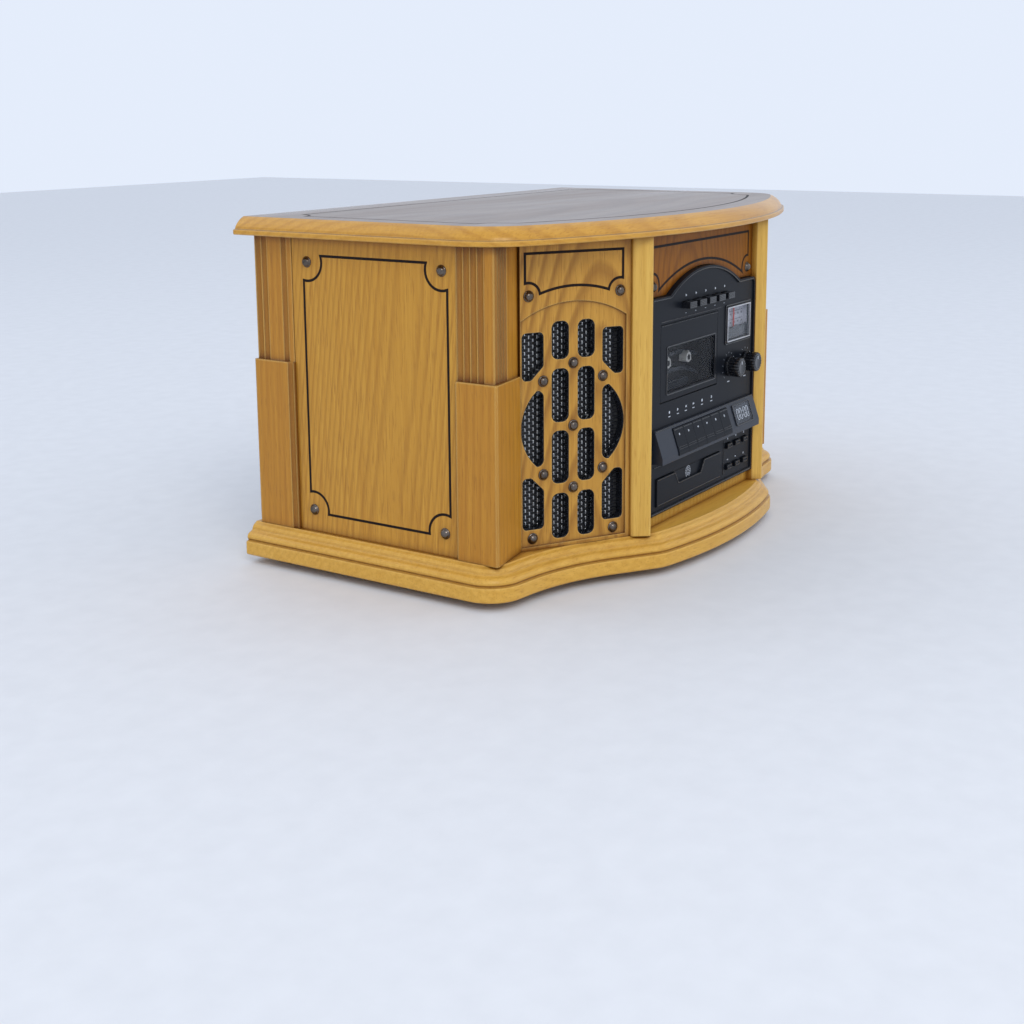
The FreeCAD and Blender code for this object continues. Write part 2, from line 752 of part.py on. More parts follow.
def dial():
    """Tuning dial: windows, the housing with its scale, and the pointer that slides across it."""
    left, right, low, high = DIAL
    lens = box("dial_lens", (left + 0.2, right - 0.2), ("fascia_front - 0.8", "fascia_front + 1.8"),
               (low + 0.2, high - 0.2))
    quad = [slope_point(126), slope_point(109), slope_point(109, 0.8), slope_point(126, 0.8)]
    display = plate("display", "yz", [rounded(quad, 0)], "56", "36.5")
    node("fascia_windows", group("window_group", [lens, display]))
    rear = of("fascia_front") + of("fascia_thick")
    shell = box("dial_shell", (left - 3, right + 2.5), (rear, rear + 5), (low - 3, high + 2.5))
    hollow = box("dial_hollow", (left - 1, right + 1), (rear - 1, rear + 3.6), (low - 1, high + 1))
    node("dial_housing", carve("dial_cut", shell, [hollow]))
    middle = (left + right) / 2
    node("dial_pointer", box("pointer", (middle - 0.7, middle + 0.7), (rear + 1, rear + 2),
                             (low + 11, high - 2)))


# ---------------------------------------------------------------- cassette and disc decks

def cassette_deck():
    """Cassette well, its two hubs, and the door with its window and cassette guides."""
    rear = of("fascia_front") + of("fascia_thick")
    shell = box("well_shell", ("door_left - 3.5", "door_right + 3.5"), (rear, -126),
                ("door_low - 3.5", "door_high + 3"))
    hollow = box("well_hollow", ("door_left - 0.5", "door_right + 0.5"), (rear - 1, -129),
                 ("door_low - 1", "door_high + 0.5"))
    middle = (of("door_left") + of("door_right")) / 2
    hub_xs = [middle + side * of("hub_apart") / 2 for side in (-1, 1)]
    bores = [rod(f"hub_bore_{index}", "y", (x, "hub_z"), 2.3, -130, -125)
             for index, x in enumerate(hub_xs)]
    node("cassette_well", carve("well_cut", shell, [hollow] + bores))
    for name, x in zip(("supply_hub", "takeup_hub"), hub_xs):
        spool = rod(name + "_spool", "y", (x, "hub_z"), "hub_radius", -137.5, -129.5)
        shaft = rod(name + "_shaft", "y", (x, "hub_z"), 2, -130, -122)
        teeth = []
        for index in range(3):
            turn = Placement(Vector(x, 0, of("hub_z")), Rotation(Vector(0, 1, 0), 120 * index))
            tooth = box(f"{name}_tooth_{index}", (-0.8, 0.8), (-137.5, -129.5), (4, 6.2))
            teeth.append(placed(group(f"{name}_tooth_turned_{index}", [tooth]), turn))
        node(name, join(name + "_whole", [spool, shaft] + teeth))
    cassette_door(middle)


def cassette_door(middle):
    """Bottom-hinged door: a frame round the window, side guides for the cassette, and two pins."""
    rear = of("fascia_front") + of("door_thick")
    window = (-78, 21, 162.5, 204)
    outline = rectangle(of("door_left"), of("door_right"), of("door_low"), of("door_high"))
    opening = rectangle(window[0], window[1], window[2], window[3])
    frame = plate("door", "xz", [outline, opening], f"{-rear}", "door_thick")
    pieces = [frame]
    half = 50.6
    for side in (-1, 1):
        inner = middle + side * half
        outer = inner + side * 2.5
        low_x, high_x = min(inner, outer), max(inner, outer)
        pieces.append(box(f"door_guide_{side + 1}", (low_x, high_x), (rear - 0.2, rear + 12),
                          (159, 205)))
        edge = of("door_left") if side < 0 else of("door_right")
        ends = sorted((edge - side * 2, edge + side * 2.4))
        pieces.append(rod(f"door_pin_{side + 1}", "x", ("door_pin_y", "door_pin_z"), "door_pin_radius",
                          ends[0], ends[1]))
    node("cassette_door", join("door_whole", pieces))
    glass = box("door_glass", window[:2], ("fascia_front + 0.4", "fascia_front + 2"), window[2:])
    node("cassette_window", glass)


def disc_drawer():
    """Disc drive sleeve and its drawer, which slides out of the front."""
    rear = of("fascia_front") + of("fascia_thick")
    shell = box("drive_shell", ("drawer_left + 1", "drawer_right - 1"), (rear, 4),
                ("drawer_low - 1.5", "drawer_high + 4"))
    hollow = box("drive_hollow", ("drawer_left + 4", "drawer_right - 4"), (rear - 1, 0),
                 ("drawer_low + 2", "drawer_high + 1"))
    node("cd_drive", carve("drive_cut", shell, [hollow]))
    middle = (of("drawer_left") + of("drawer_right")) / 2
    tray = box("tray_plate", ("drawer_left + 4.6", "drawer_right - 4.6"), (rear - 0.5, -6),
               ("drawer_low + 2.6", "drawer_low + 10"))
    dish = rod("tray_dish", "z", (middle, -76), "disc_radius", "drawer_low + 7.4", "drawer_low + 12")
    gap = box("tray_gap", (middle - 18, middle + 18), (-100, -30), ("drawer_low", "drawer_low + 12"))
    front = box("tray_front", ("drawer_left", "drawer_right"), ("fascia_front - 1.6", rear - 0.4),
                ("drawer_low", "drawer_high"))
    scoop_section = rounded([(-67, 90), (-55, 72), (-8, 72), (4, 90)], 2.5)
    scoop = plate("scoop", "xz", [scoop_section], "-fascia_front - 0.6", "4")
    dished = carve("tray_dished", tray, [dish, gap])
    scooped = carve("tray_scooped", front, [scoop])
    node("cd_tray", join("tray_whole", [dished, scooped]))


def disc_buttons():
    """Small oblong buttons beside the drawer, in two rows."""
    places = [(x, z) for z in CD_BUTTON_ZS[::-1] for x in CD_BUTTON_XS]
    for index, (x, z) in enumerate(places):
        reach_x = CD_BUTTON_SIZE[0] / 2
        reach_z = CD_BUTTON_SIZE[1] / 2
        button = box(f"cd_button_box_{index}", (x - reach_x, x + reach_x),
                     ("fascia_front - 2.4", "-143"), (z - reach_z, z + reach_z))
        node(f"cd_button_{index + 1}", button)


# ---------------------------------------------------------------- turntable

def deck():
    """Mounting board with its bearing, the motor under it and the arm's rest."""
    front = -133.5
    side = of("body_half") - of("panel_recess") - of("panel_thick") - 0.5
    right = [(112, front), (128, -128.5), (221, -72), (228, -50.5), (side, -50.5), (side, 170)]
    left = [(-x, y) for x, y in reversed(right)]
    outline = rounded(left + right, 0)
    motor_x, motor_y = motor_place()
    holes = [round_hole(of("spindle_x"), of("spindle_y"), 8), round_hole(motor_x, motor_y, 9)]
    node("deck_board", plate("deck", "xy", [outline] + holes, "deck_top - deck_thick", "deck_thick"))
    spindle = ("spindle_x", "spindle_y")
    bush = join("bush_whole", [
        rod("bush_barrel", "z", spindle, 7.8, "deck_top - 16", "deck_top + 1.5"),
        rod("bush_flange", "z", spindle, 14, "deck_top - 9", "deck_top - 6")])
    bore = rod("bush_bore", "z", spindle, "spindle_radius + running_gap", "deck_top - 20", "deck_top + 3")
    node("platter_bearing", carve("bush_bored", bush, [bore]))
    node("drive_motor", rod("motor_can", "z", (motor_x, motor_y), 17, "deck_top - deck_thick - 26",
                            "deck_top - deck_thick"))


def motor_place():
    """The motor stands behind and to the left of the spindle, under the platter."""
    reach = of("pulley_apart") * math.sqrt(0.5)
    return of("spindle_x") - reach, of("spindle_y") + reach


def belt_loop(big, small):
    """Outline of a belt run round the drive rim and the pulley."""
    apart = of("pulley_apart")
    wrap = math.degrees(math.acos((big - small) / apart))
    centres = Vector(of("spindle_x"), of("spindle_y"), 0), Vector(*motor_place(), 0)
    toward = 135

    def at(centre, radius, angle):
        turn = math.radians(angle)
        return centre + Vector(radius * math.cos(turn), radius * math.sin(turn), 0)

    ends = [[at(centre, radius, toward + side * wrap) for side in (1, -1)]
            for centre, radius in zip(centres, (big, small))]
    return [
        Part.Arc(ends[0][0], at(centres[0], big, toward + 180), ends[0][1]),
        Part.LineSegment(ends[0][1], ends[1][1]),
        Part.Arc(ends[1][1], at(centres[1], small, toward), ends[1][0]),
        Part.LineSegment(ends[1][0], ends[0][0]),
    ]


def platter():
    """Platter with a drive rim and spindle, its mat, the belt and the motor pulley."""
    spindle = ("spindle_x", "spindle_y")
    disc = rod("platter_disc", "z", spindle, "platter_radius", "deck_top + 6", "deck_top + 12")
    rim = rod("platter_rim", "z", spindle, "drive_rim_radius", "deck_top + 2", "deck_top + 7")
    hollow = rod("platter_hollow", "z", spindle, "drive_rim_radius - 6", "deck_top + 1", "deck_top + 6")
    pin = rod("platter_spindle", "z", spindle, "spindle_radius", "deck_top - 14", "deck_top + 28")
    boss = rod("platter_boss", "z", spindle, "spindle_radius + 1", "deck_top + 11", "deck_top + 14.5")
    turned = carve("platter_turned", join("platter_blank", [disc, rim]), [hollow])
    node("platter", join("platter_whole", [turned, boss, pin]))
    mat = rod("mat_disc", "z", spindle, "platter_radius - 3", "deck_top + 12", "deck_top + 14.5")
    node("platter_mat", carve("mat_bored", mat, [
        rod("mat_bore", "z", spindle, "spindle_radius + 1.4", "deck_top + 11", "deck_top + 16")]))
    big = of("drive_rim_radius") + 0.3
    small = of("pulley_radius") + 0.3
    node("drive_belt", plate("belt", "xy", [belt_loop(big + 0.8, small + 0.8), belt_loop(big, small)],
                             "deck_top + 2.6", "2.6"))
    place = motor_place()
    node("motor_pulley", join("pulley_whole", [
        rod("pulley_wheel", "z", place, "pulley_radius", "deck_top + 1.6", "deck_top + 5.6"),
        rod("pulley_shaft", "z", place, 1.2, "deck_top - deck_thick + 0.2", "deck_top + 2")]))


def arm_frame():
    """The pick-up arm's own frame: x runs along the arm from its upright pivot."""
    return Placement(Vector(of("arm_x"), of("arm_y"), 0), Rotation(UP, of("arm_rest_angle")))


def tonearm():
    """Arm base and rest post, the turning yoke, and the arm with its counterweight and pick-up."""
    centre = ("arm_x", "arm_y")
    rest_x = 140
    post = group("rest_post", [
        rod("rest_stem", "z", (rest_x, 0), 4, "deck_top", "arm_z - 7"),
        box("rest_saddle", (rest_x - 4, rest_x + 4), (-5, 7.5), ("arm_z - 7", "arm_z - 4.4")),
        box("rest_cheek", (rest_x - 4, rest_x + 4), (5.4, 7.5), ("arm_z - 4.4", "arm_z + 1"))])
    node("tonearm_base", group("arm_base_group", [
        rod("arm_plinth", "z", centre, 22, "deck_top", "deck_top + 8"), placed(post, arm_frame())]))
    yoke = join("yoke_whole", [
        rod("yoke_disc", "z", (0, 0), 15, "deck_top + 8.4", "deck_top + 14"),
        box("yoke_left", (-7, 7), (-12, -9), ("deck_top + 13", "arm_z + 6")),
        box("yoke_right", (-7, 7), (9, 12), ("deck_top + 13", "arm_z + 6")),
        rod("yoke_pin", "y", (0, "arm_z"), 1.5, -11, 11)])
    node("tonearm_yoke", placed(yoke, arm_frame()))
    hub = box("arm_hub", (-9, 9), (-8.6, 8.6), ("arm_z - 5", "arm_z + 5"))
    hub_bored = carve("arm_hub_bored", hub, [
        rod("arm_hub_bore", "y", (0, "arm_z"), "1.5 + running_gap", -20, 20)])
    arm = join("arm_whole", [
        hub_bored,
        rod("arm_tube", "x", (0, "arm_z"), 4, 8, "arm_reach - 12"),
        rod("arm_stub", "x", (0, "arm_z"), 3, -16, -8),
        rod("arm_weight", "x", (0, "arm_z"), 9, -34, -15),
        box("arm_shell", ("arm_reach - 26", "arm_reach + 6"), (-8, 8), ("arm_z - 4", "arm_z + 2")),
        box("arm_cartridge", ("arm_reach - 10", "arm_reach + 4"), (-6, 6), ("arm_z - 9", "arm_z - 4")),
        rod("arm_stylus", "z", ("arm_reach", 0), 0.9, "arm_z - 11", "arm_z - 8")])
    node("tonearm", placed(arm, arm_frame()))


def speed_lever():
    """Speed selector: a round boss with a finger lever."""
    return node("speed_lever", join("lever_whole", [
        rod("lever_boss", "z", (205, -10), 8, "deck_top + 0.4", "deck_top + 6"),
        box("lever_arm", (202, 208), (-38, -10), ("deck_top + 1.5", "deck_top + 5")),
        rod("lever_tip", "z", (205, -38), 4.5, "deck_top + 1.5", "deck_top + 12")]))


# ---------------------------------------------------------------- inside and rear

def amplifier_board():
    """Circuit board on posts with the mains transformer, heat sink and capacitors on it."""
    posts = [rod(f"board_post_{index}", "z", (x, y), 3, "base_top", 47) for index, (x, y) in
             enumerate([(x, y) for x in (70, 230) for y in (-30, 120)])]
    parts = [
        box("board", (60, 240), (-40, 130), (47, 48.6)),
        box("transformer_core", (175, 225), (60, 105), (48.6, 88)),
        rod("transformer_coil", "z", (200, 82), 17, 88, 94),
        box("heat_sink", (70, 130), (100, 118), (48.6, 85)),
        rod("capacitor_large", "z", (150, 20), 12, 48.6, 85),
        rod("capacitor_small", "z", (185, 20), 9, 48.6, 75),
        box("radio_can", (90, 125), (0, 30), (48.6, 66)),
    ]
    return node("amplifier_board", join("amplifier_whole", posts + parts))


def rear_sockets():
    """Socket plate with four round sockets, and the gland that a mains lead passes through."""
    outer = of("body_rear")
    plate_box = box("socket_plate", (150, 210), (outer, outer + 1.5), (60, 100))
    sockets = [rod(f"socket_{index}", "y", (x, z), 4.2, outer + 1.5, outer + 6.4) for index, (x, z) in
               enumerate([(x, z) for x in (168, 192) for z in (70, 90)])]
    gland = rod("mains_gland", "y", (-200, 70), 7, outer, outer + 5)
    return node("rear_sockets", group("socket_group", [join("socket_block", [plate_box] + sockets), gland]))


def screws():
    """Round heads of the rear board's screws."""
    places = [(x, z) for x in (-255, 0, 255) for z in (50, 290)] + [(x, 170) for x in (-255, 255)]
    return [rod(f"screw_{index}", "y", place, 3.4, "body_rear", "body_rear + 1.8")
            for index, place in enumerate(places)]


HINGE_CENTRES = (-185, 185)
HINGE_HALF = 30
KNUCKLE_HALF = 10


def lid_hinges():
    """Two butt hinges: rear leaves with outer knuckles and pins, lid leaves with the middle knuckle."""
    rear_leaves = []
    lid_leaves = []
    axis = ("hinge_y", "hinge_z")
    barrel = of("hinge_barrel")
    for index, x in enumerate(HINGE_CENTRES):
        ends = [(x - HINGE_HALF, x - KNUCKLE_HALF - 0.3), (x + KNUCKLE_HALF + 0.3, x + HINGE_HALF)]
        knuckles = [rod(f"rear_knuckle_{index}_{side}", "x", axis, barrel, low, high)
                    for side, (low, high) in enumerate(ends)]
        tabs = [box(f"rear_tab_{index}_{side}", (low, high), ("body_rear", "hinge_y"), (285, "hinge_z"))
                for side, (low, high) in enumerate(ends)]
        web = box(f"rear_web_{index}", (x - HINGE_HALF, x + HINGE_HALF), ("body_rear", "body_rear + 1.4"),
                  (285, 305))
        relief = box(f"rear_relief_{index}", (x - HINGE_HALF - 1, x + HINGE_HALF + 1),
                     ("body_rear + 1.4", "rear + 1"), (280, "hinge_z - 0.5"))
        pin = rod(f"hinge_pin_{index}", "x", axis, "hinge_pin", x - HINGE_HALF, x + HINGE_HALF)
        leaf = carve(f"rear_leaf_{index}", join(f"rear_leaf_blank_{index}", tabs), [relief])
        rear_leaves.append(join(f"rear_hinge_{index}", knuckles + [leaf, web, pin]))
        knuckle = rod(f"lid_knuckle_{index}", "x", axis, barrel, x - KNUCKLE_HALF, x + KNUCKLE_HALF)
        riser = box(f"lid_riser_{index}", (x - KNUCKLE_HALF, x + KNUCKLE_HALF),
                    ("hinge_y - 1", "hinge_y + 1.6"), ("hinge_z", "body_top"))
        bridge = box(f"lid_bridge_{index}", (x - KNUCKLE_HALF, x + KNUCKLE_HALF),
                     ("body_rear - 2", "hinge_y"), ("body_top - 1.2", "body_top"))
        flat = box(f"lid_flat_{index}", (x - HINGE_HALF, x + HINGE_HALF), (150, "body_rear"),
                   ("body_top - 1.2", "body_top"))
        bore = rod(f"lid_bore_{index}", "x", axis, "hinge_pin + running_gap", x - 20, x + 20)
        blank = join(f"lid_leaf_blank_{index}", [knuckle, riser, bridge, flat])
        lid_leaves.append(carve(f"lid_leaf_{index}", blank, [bore]))
    node("rear_hardware", group("rear_hardware_group", rear_leaves + screws()))
    node("lid_hinge_leaves", group("lid_leaf_group", lid_leaves))


# ---------------------------------------------------------------- assembly

plinth()
feet()
cabinet_sides()
back_panel()
speakers()
dome_nails()
front_posts()
front_rails()
fascia()
key_housing()
tape_keys()
function_buttons()
node("volume_knob", knob("volume", KNOB_XS[0]))
node("tuning_knob", knob("tuning", KNOB_XS[1]))
dial()
cassette_deck()
disc_drawer()
disc_buttons()
deck()
platter()
tonearm()
speed_lever()
amplifier_board()
rear_sockets()
lid_hinges()
lid_board()
doc.recompute()

faults = [item.Name for item in doc.Objects if "Invalid" in item.State or "Error" in item.State]
faults += [item.Label for item in nodes if item.Shape.isNull() or not item.Shape.isValid()]
if faults:
    raise RuntimeError("failed objects: " + ", ".join(faults))

os.makedirs("parts", exist_ok=True)
for item in nodes:
    item.Shape.exportStep(f"parts/{item.Label}.step")
    print(item.Label, len(item.Shape.Solids), round(item.Shape.Volume / 1000, 2), "cm3")
print(len(nodes), "nodes")
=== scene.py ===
"""Looks of a bow-fronted wooden record player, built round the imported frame.

Metres, +X is the right-hand side seen from the front, the front faces -Y, z = 0 is under the feet.
Lengths in the tables below are millimetres and are turned into metres by the plane functions.
"""

import math

import bmesh
import bpy
from mathutils import Matrix, Vector


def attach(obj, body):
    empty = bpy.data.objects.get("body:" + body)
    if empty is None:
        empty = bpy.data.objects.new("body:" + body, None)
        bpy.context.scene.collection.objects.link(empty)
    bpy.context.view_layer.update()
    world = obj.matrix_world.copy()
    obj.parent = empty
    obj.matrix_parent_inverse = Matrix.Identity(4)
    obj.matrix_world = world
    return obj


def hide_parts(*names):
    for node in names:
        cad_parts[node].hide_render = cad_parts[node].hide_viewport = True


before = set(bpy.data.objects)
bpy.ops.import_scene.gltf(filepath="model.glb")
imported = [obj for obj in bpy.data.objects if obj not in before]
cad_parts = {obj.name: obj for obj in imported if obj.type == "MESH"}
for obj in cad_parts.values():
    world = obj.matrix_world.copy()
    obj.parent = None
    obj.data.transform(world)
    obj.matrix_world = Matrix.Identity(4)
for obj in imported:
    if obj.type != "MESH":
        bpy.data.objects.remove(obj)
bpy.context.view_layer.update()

MM = 0.001
BAFFLE_START = (-231.0, -85.2)
BAFFLE_TURN = math.radians(30.5)
BAFFLE_WIDE = 110.7
SLOT_MIDDLE = 53.2
BAFFLE_THICK = 12.0
FIELD_DEEP = 1.8
SIDE_FACE = 277.0
RAIL_FACE = -145.4
FASCIA_FACE = -149.2
LID_TOP = 328.5
SIDES = (-1, 1)


# ---------------------------------------------------------------- camera, light and floor

def aim(place, ahead, roll=0.0):
    """Matrix of something at a place that looks along ahead."""
    ahead = ahead.normalized()
    right = ahead.cross(Vector((0, 0, 1))).normalized()
    up = right.cross(ahead)
    turned = right * math.cos(roll) + up * math.sin(roll)
    upright = up * math.cos(roll) - right * math.sin(roll)
    matrix = Matrix((turned, upright, -ahead)).transposed().to_4x4()
    matrix.translation = place
    return matrix


def add_camera():
    """The camera at the left front corner, a little above the lid."""
    yaw, pitch = 0.9874, -0.1896
    data = bpy.data.cameras.new("view")
    data.lens = 51.16
    data.sensor_width = 36.0
    data.shift_y = -0.119
    data.clip_start = 0.01
    camera = bpy.data.objects.new("view", data)
    bpy.context.scene.collection.objects.link(camera)
    ahead = Vector((math.sin(yaw) * math.cos(pitch), math.cos(yaw) * math.cos(pitch), math.sin(pitch)))
    camera.matrix_world = aim(Vector((-1.2699, -0.7622, 0.4220)), ahead, -0.007)
    bpy.context.scene.camera = camera


def add_light(name, place, size, power, colour):
    """Soft area lamp that looks at the middle of the cabinet."""
    data = bpy.data.lights.new(name, "AREA")
    data.shape = "DISK"
    data.size = size
    data.energy = power
    data.color = colour
    lamp = bpy.data.objects.new(name, data)
    bpy.context.scene.collection.objects.link(lamp)
    lamp.matrix_world = aim(Vector(place), Vector((0, 0, 0.15)) - Vector(place))


def add_surroundings():
    """Pale sky, soft lamps and a plain pale floor."""
    world = bpy.data.worlds.new("studio")
    bpy.context.scene.world = world
    world.use_nodes = True
    background = world.node_tree.nodes["Background"]
    background.inputs["Color"].default_value = (0.765, 0.83, 0.95, 1)
    background.inputs["Strength"].default_value = 1.02
    add_light("key", (-1.9, -1.9, 2.2), 1.4, 25, (1.0, 0.96, 0.90))
    add_light("fill", (2.2, -1.8, 1.6), 2.0, 5, (0.95, 0.97, 1.0))
    add_light("rim", (-0.6, 2.2, 2.0), 1.6, 4, (0.95, 0.97, 1.0))
    floor = bpy.data.meshes.new("floor")
    half = 6.0
    corners = [(-half, -half, 0), (half, -half, 0), (half, half, 0), (-half, half, 0)]
    floor.from_pydata(corners, [], [(0, 1, 2, 3)])
    ground = bpy.data.objects.new("floor", floor)
    bpy.context.scene.collection.objects.link(ground)
    paint = Shader("floor_paint")
    speck = paint.noise(paint.position, 40, 3)
    paint.colour(paint.ramp(speck, [(0.3, (0.74, 0.75, 0.77)), (0.7, (0.77, 0.78, 0.80))]))
    paint.set("Roughness", 0.75)
    floor.materials.append(paint.material)


# ---------------------------------------------------------------- materials

class Shader:
    """Node material of one finish, built from its object coordinates, which are the frame's own."""

    def __init__(self, name):
        self.material = bpy.data.materials.new(name)
        self.material.use_nodes = True
        self.tree = self.material.node_tree
        self.surface = self.tree.nodes["Principled BSDF"]
        self.position = self.add("ShaderNodeTexCoord").outputs["Object"]

    def add(self, kind, feeds=(), **settings):
        """Node with its settings, and a value or a link for each input that feeds names."""
        item = self.tree.nodes.new(kind)
        for key, value in settings.items():
            setattr(item, key, value)
        for socket, value in dict(feeds).items():
            self.feed(item.inputs[socket], value)
        return item

    def feed(self, socket, value):
        if isinstance(value, bpy.types.NodeSocket):
            self.tree.links.new(value, socket)
        else:
            socket.default_value = value

    def set(self, name, value):
        self.feed(self.surface.inputs[name], value)

    def colour(self, value):
        self.set("Base Color", value)

    def maths(self, operation, first, second=0.0):
        return self.add("ShaderNodeMath", {0: first, 1: second}, operation=operation).outputs[0]

    def stretch(self, vector, along, factor):
        """The vector with one axis scaled by a factor, which draws a pattern out along it."""
        factors = [1.0, 1.0, 1.0]
        factors[along] = factor
        feeds = {0: vector, 1: factors}
        return self.add("ShaderNodeVectorMath", feeds, operation="MULTIPLY").outputs[0]

    def shift(self, vector, offset):
        return self.add("ShaderNodeVectorMath", {0: vector, 1: offset}, operation="ADD").outputs[0]

    def split(self, vector):
        return self.add("ShaderNodeSeparateXYZ", {0: vector}).outputs

    def noise(self, vector, scale, detail=2.0, rough=0.5):
        feeds = {"Vector": vector, "Scale": scale, "Detail": detail, "Roughness": rough}
        return self.add("ShaderNodeTexNoise", feeds).outputs["Fac"]

    def cells(self, vector, scale):
        return self.add("ShaderNodeTexVoronoi", {"Vector": vector, "Scale": scale}).outputs["Distance"]

    def ramp(self, factor, stops):
        item = self.add("ShaderNodeValToRGB", {0: factor})
        elements = item.color_ramp.elements
        while len(elements) < len(stops):
            elements.new(0.5)
        for element, (place, tone) in zip(elements, stops):
            element.position = place
            if isinstance(tone, (int, float)):
                tone = (tone, tone, tone)
            element.color = (*tone, 1.0)
        return item.outputs["Color"]

    def mix(self, factor, first, second):
        feeds = {0: factor}
        for socket, value in ((6, first), (7, second)):
            feeds[socket] = (*value, 1.0) if isinstance(value, tuple) else value
        return self.add("ShaderNodeMix", feeds, data_type="RGBA").outputs[2]

    def bump(self, height, strength, distance, under=None):
        feeds = {"Strength": strength, "Distance": distance, "Height": height}
        if under is not None:
            feeds["Normal"] = under
        return self.add("ShaderNodeBump", feeds).outputs["Normal"]

    def recess(self, distance):
        """Near 1 in the open and lower in grooves narrower than the distance."""
        return self.add("ShaderNodeAmbientOcclusion", {"Distance": distance}, samples=6).outputs["AO"]

    def own_normal(self):
        return self.add("ShaderNodeNewGeometry").outputs["Normal"]

    def softened(self, radius):
        """Normal that turns gradually over edges, as if they were rounded by the radius."""
        return self.add("ShaderNodeBevel", {"Radius": radius}, samples=4).outputs["Normal"]

    def edge_wear_and_highlight(self, normal):
        """Over 0 along the edges where a softened normal leaves the face's own."""
        feeds = {0: normal, 1: self.own_normal()}
        item = self.add("ShaderNodeVectorMath", feeds, operation="DOT_PRODUCT")
        return self.ramp(item.outputs["Value"], [(0.84, 1.0), (0.99, 0.0)])

    def finish(self, rough, normal=None):
        self.set("Roughness", rough)
        if normal is not None:
            self.set("Normal", normal)
        return self.material


GRAIN_AXES = {"x": (1, 2, 0), "y": (0, 2, 1), "z": (0, 1, 2)}


def veneer(name, grain, pith, tilt, tones, ring=6.5, gloss=0.36, coat=0.12, figure=0.5, shine=0.28,
           open_at=0.95, edge=0.0016, top=None, foot=None):
    """Lacquered oak: rings are cones round a tilted pith, so flat faces show arched grain."""
    wood = Shader(name)
    light, middle, dark = tones
    across, deep, along = GRAIN_AXES[grain]
    place = wood.shift(wood.position, tuple(-value * MM for value in pith))
    slim = wood.stretch(wood.position, along, 0.16)
    warp = wood.noise(slim, 9, 2, 0.45)
    warp_fine = wood.noise(slim, 42, 3, 0.5)
    parts = wood.split(place)
    wave = wood.maths("ADD", wood.maths("MULTIPLY", warp, 0.026),
                      wood.maths("MULTIPLY", warp_fine, 0.005))
    wide = wood.maths("ADD", parts[across], wave)
    rise = wood.maths("ADD", parts[deep], wood.maths("MULTIPLY", parts[along], tilt))
    radius = wood.maths("SQRT", wood.maths("ADD", wood.maths("MULTIPLY", wide, wide),
                                           wood.maths("MULTIPLY", rise, rise)))
    turns = wood.maths("FRACT", wood.maths("MULTIPLY", radius, 1 / (ring * MM)))
    line = wood.ramp(turns, [(0.0, 0.55), (0.12, 0.0), (0.55, 0.12), (0.86, 0.75), (1.0, 0.6)])
    streak = wood.noise(wood.stretch(wood.position, along, 0.03), 260, 4, 0.6)
    pore = wood.noise(wood.stretch(wood.position, along, 0.055), 900, 2, 0.55)
    pores = wood.ramp(pore, [(0.56, 0.0), (0.66, 1.0)])
    cloud = wood.noise(slim, 14, 3)
    # Painted reflection: faces that look up, the lid's top, take darker grey-brown tones that stand in
    # for the pale sky's reflection on the lacquer.
    if top is not None:
        facing = wood.ramp(wood.split(wood.own_normal())[2], [(0.93, 0.0), (0.985, 1.0)])
        light, middle, dark = (wood.mix(facing, tone, cover) for tone, cover in zip(tones, top))
    # Painted light and shade on one board: below about 60 mm the rail takes the pale foot tones as lit
    # wood, while the tones above it are shaded.
    if foot is not None:
        below = wood.ramp(wood.split(wood.position)[2], [(0.055, 1.0), (0.065, 0.0)])
        light, middle, dark = (wood.mix(below, tone, pale)
                               for tone, pale in zip((light, middle, dark), foot))
    base = wood.mix(wood.ramp(streak, [(0.3, 0.0), (0.72, 1.0)]), light, middle)
    base = wood.mix(wood.maths("MULTIPLY", line, figure), base, dark)
    base = wood.mix(wood.maths("MULTIPLY", pores, 0.38), base, dark)
    base = wood.mix(wood.ramp(cloud, [(0.35, 0.0), (0.75, 0.45)]), base, middle)
    soft = wood.softened(edge)
    # Paler yellow along the edges: partly wear of the lacquer, partly painted highlight.
    base = wood.mix(wood.maths("MULTIPLY", wood.edge_wear_and_highlight(soft), 0.7), base, (0.80, 0.53, 0.17))
    # Painted shade: the colour turns towards a dark brown in recesses, flutes, bead lines and round the
    # nails, wherever occlusion is found within 9 mm.
    groove = wood.recess(0.009)
    recess_shade = wood.ramp(groove, [(0.45, 1.0), (open_at, 0.0)])
    base = wood.mix(recess_shade, base, wood.mix(0.5, dark, (0.12, 0.034, 0.004)))
    wood.colour(base)
    wood.set("Coat Weight", coat)
    wood.set("Specular IOR Level", shine)
    wood.set("Coat Roughness", 0.16)
    relief = wood.maths("SUBTRACT", wood.maths("MULTIPLY", streak, 0.5),
                        wood.maths("MULTIPLY", pores, 0.8))
    normal = wood.bump(relief, 0.25, 0.0002, soft)
    return wood.finish(wood.ramp(cloud, [(0.3, gloss - 0.04), (0.7, gloss + 0.08)]), normal)


def moulded_plastic(name, tone, rough, grain_size=1400, depth=0.18, shine=0.2):
    """Moulded plastic with a fine spark-eroded grain."""
    plastic = Shader(name)
    grain = plastic.noise(plastic.position, grain_size, 3, 0.6)
    patch = plastic.noise(plastic.position, 22, 3)
    lighter = tuple(min(1.0, value * 1.35 + 0.004) for value in tone)
    plastic.colour(plastic.mix(plastic.ramp(patch, [(0.3, 0.0), (0.75, 0.8)]), tone, lighter))
    normal = plastic.bump(grain, depth, 0.0001, plastic.softened(0.0008))
    plastic.set("Specular IOR Level", shine)
    return plastic.finish(plastic.ramp(patch, [(0.3, rough - 0.04), (0.75, rough + 0.06)]), normal)


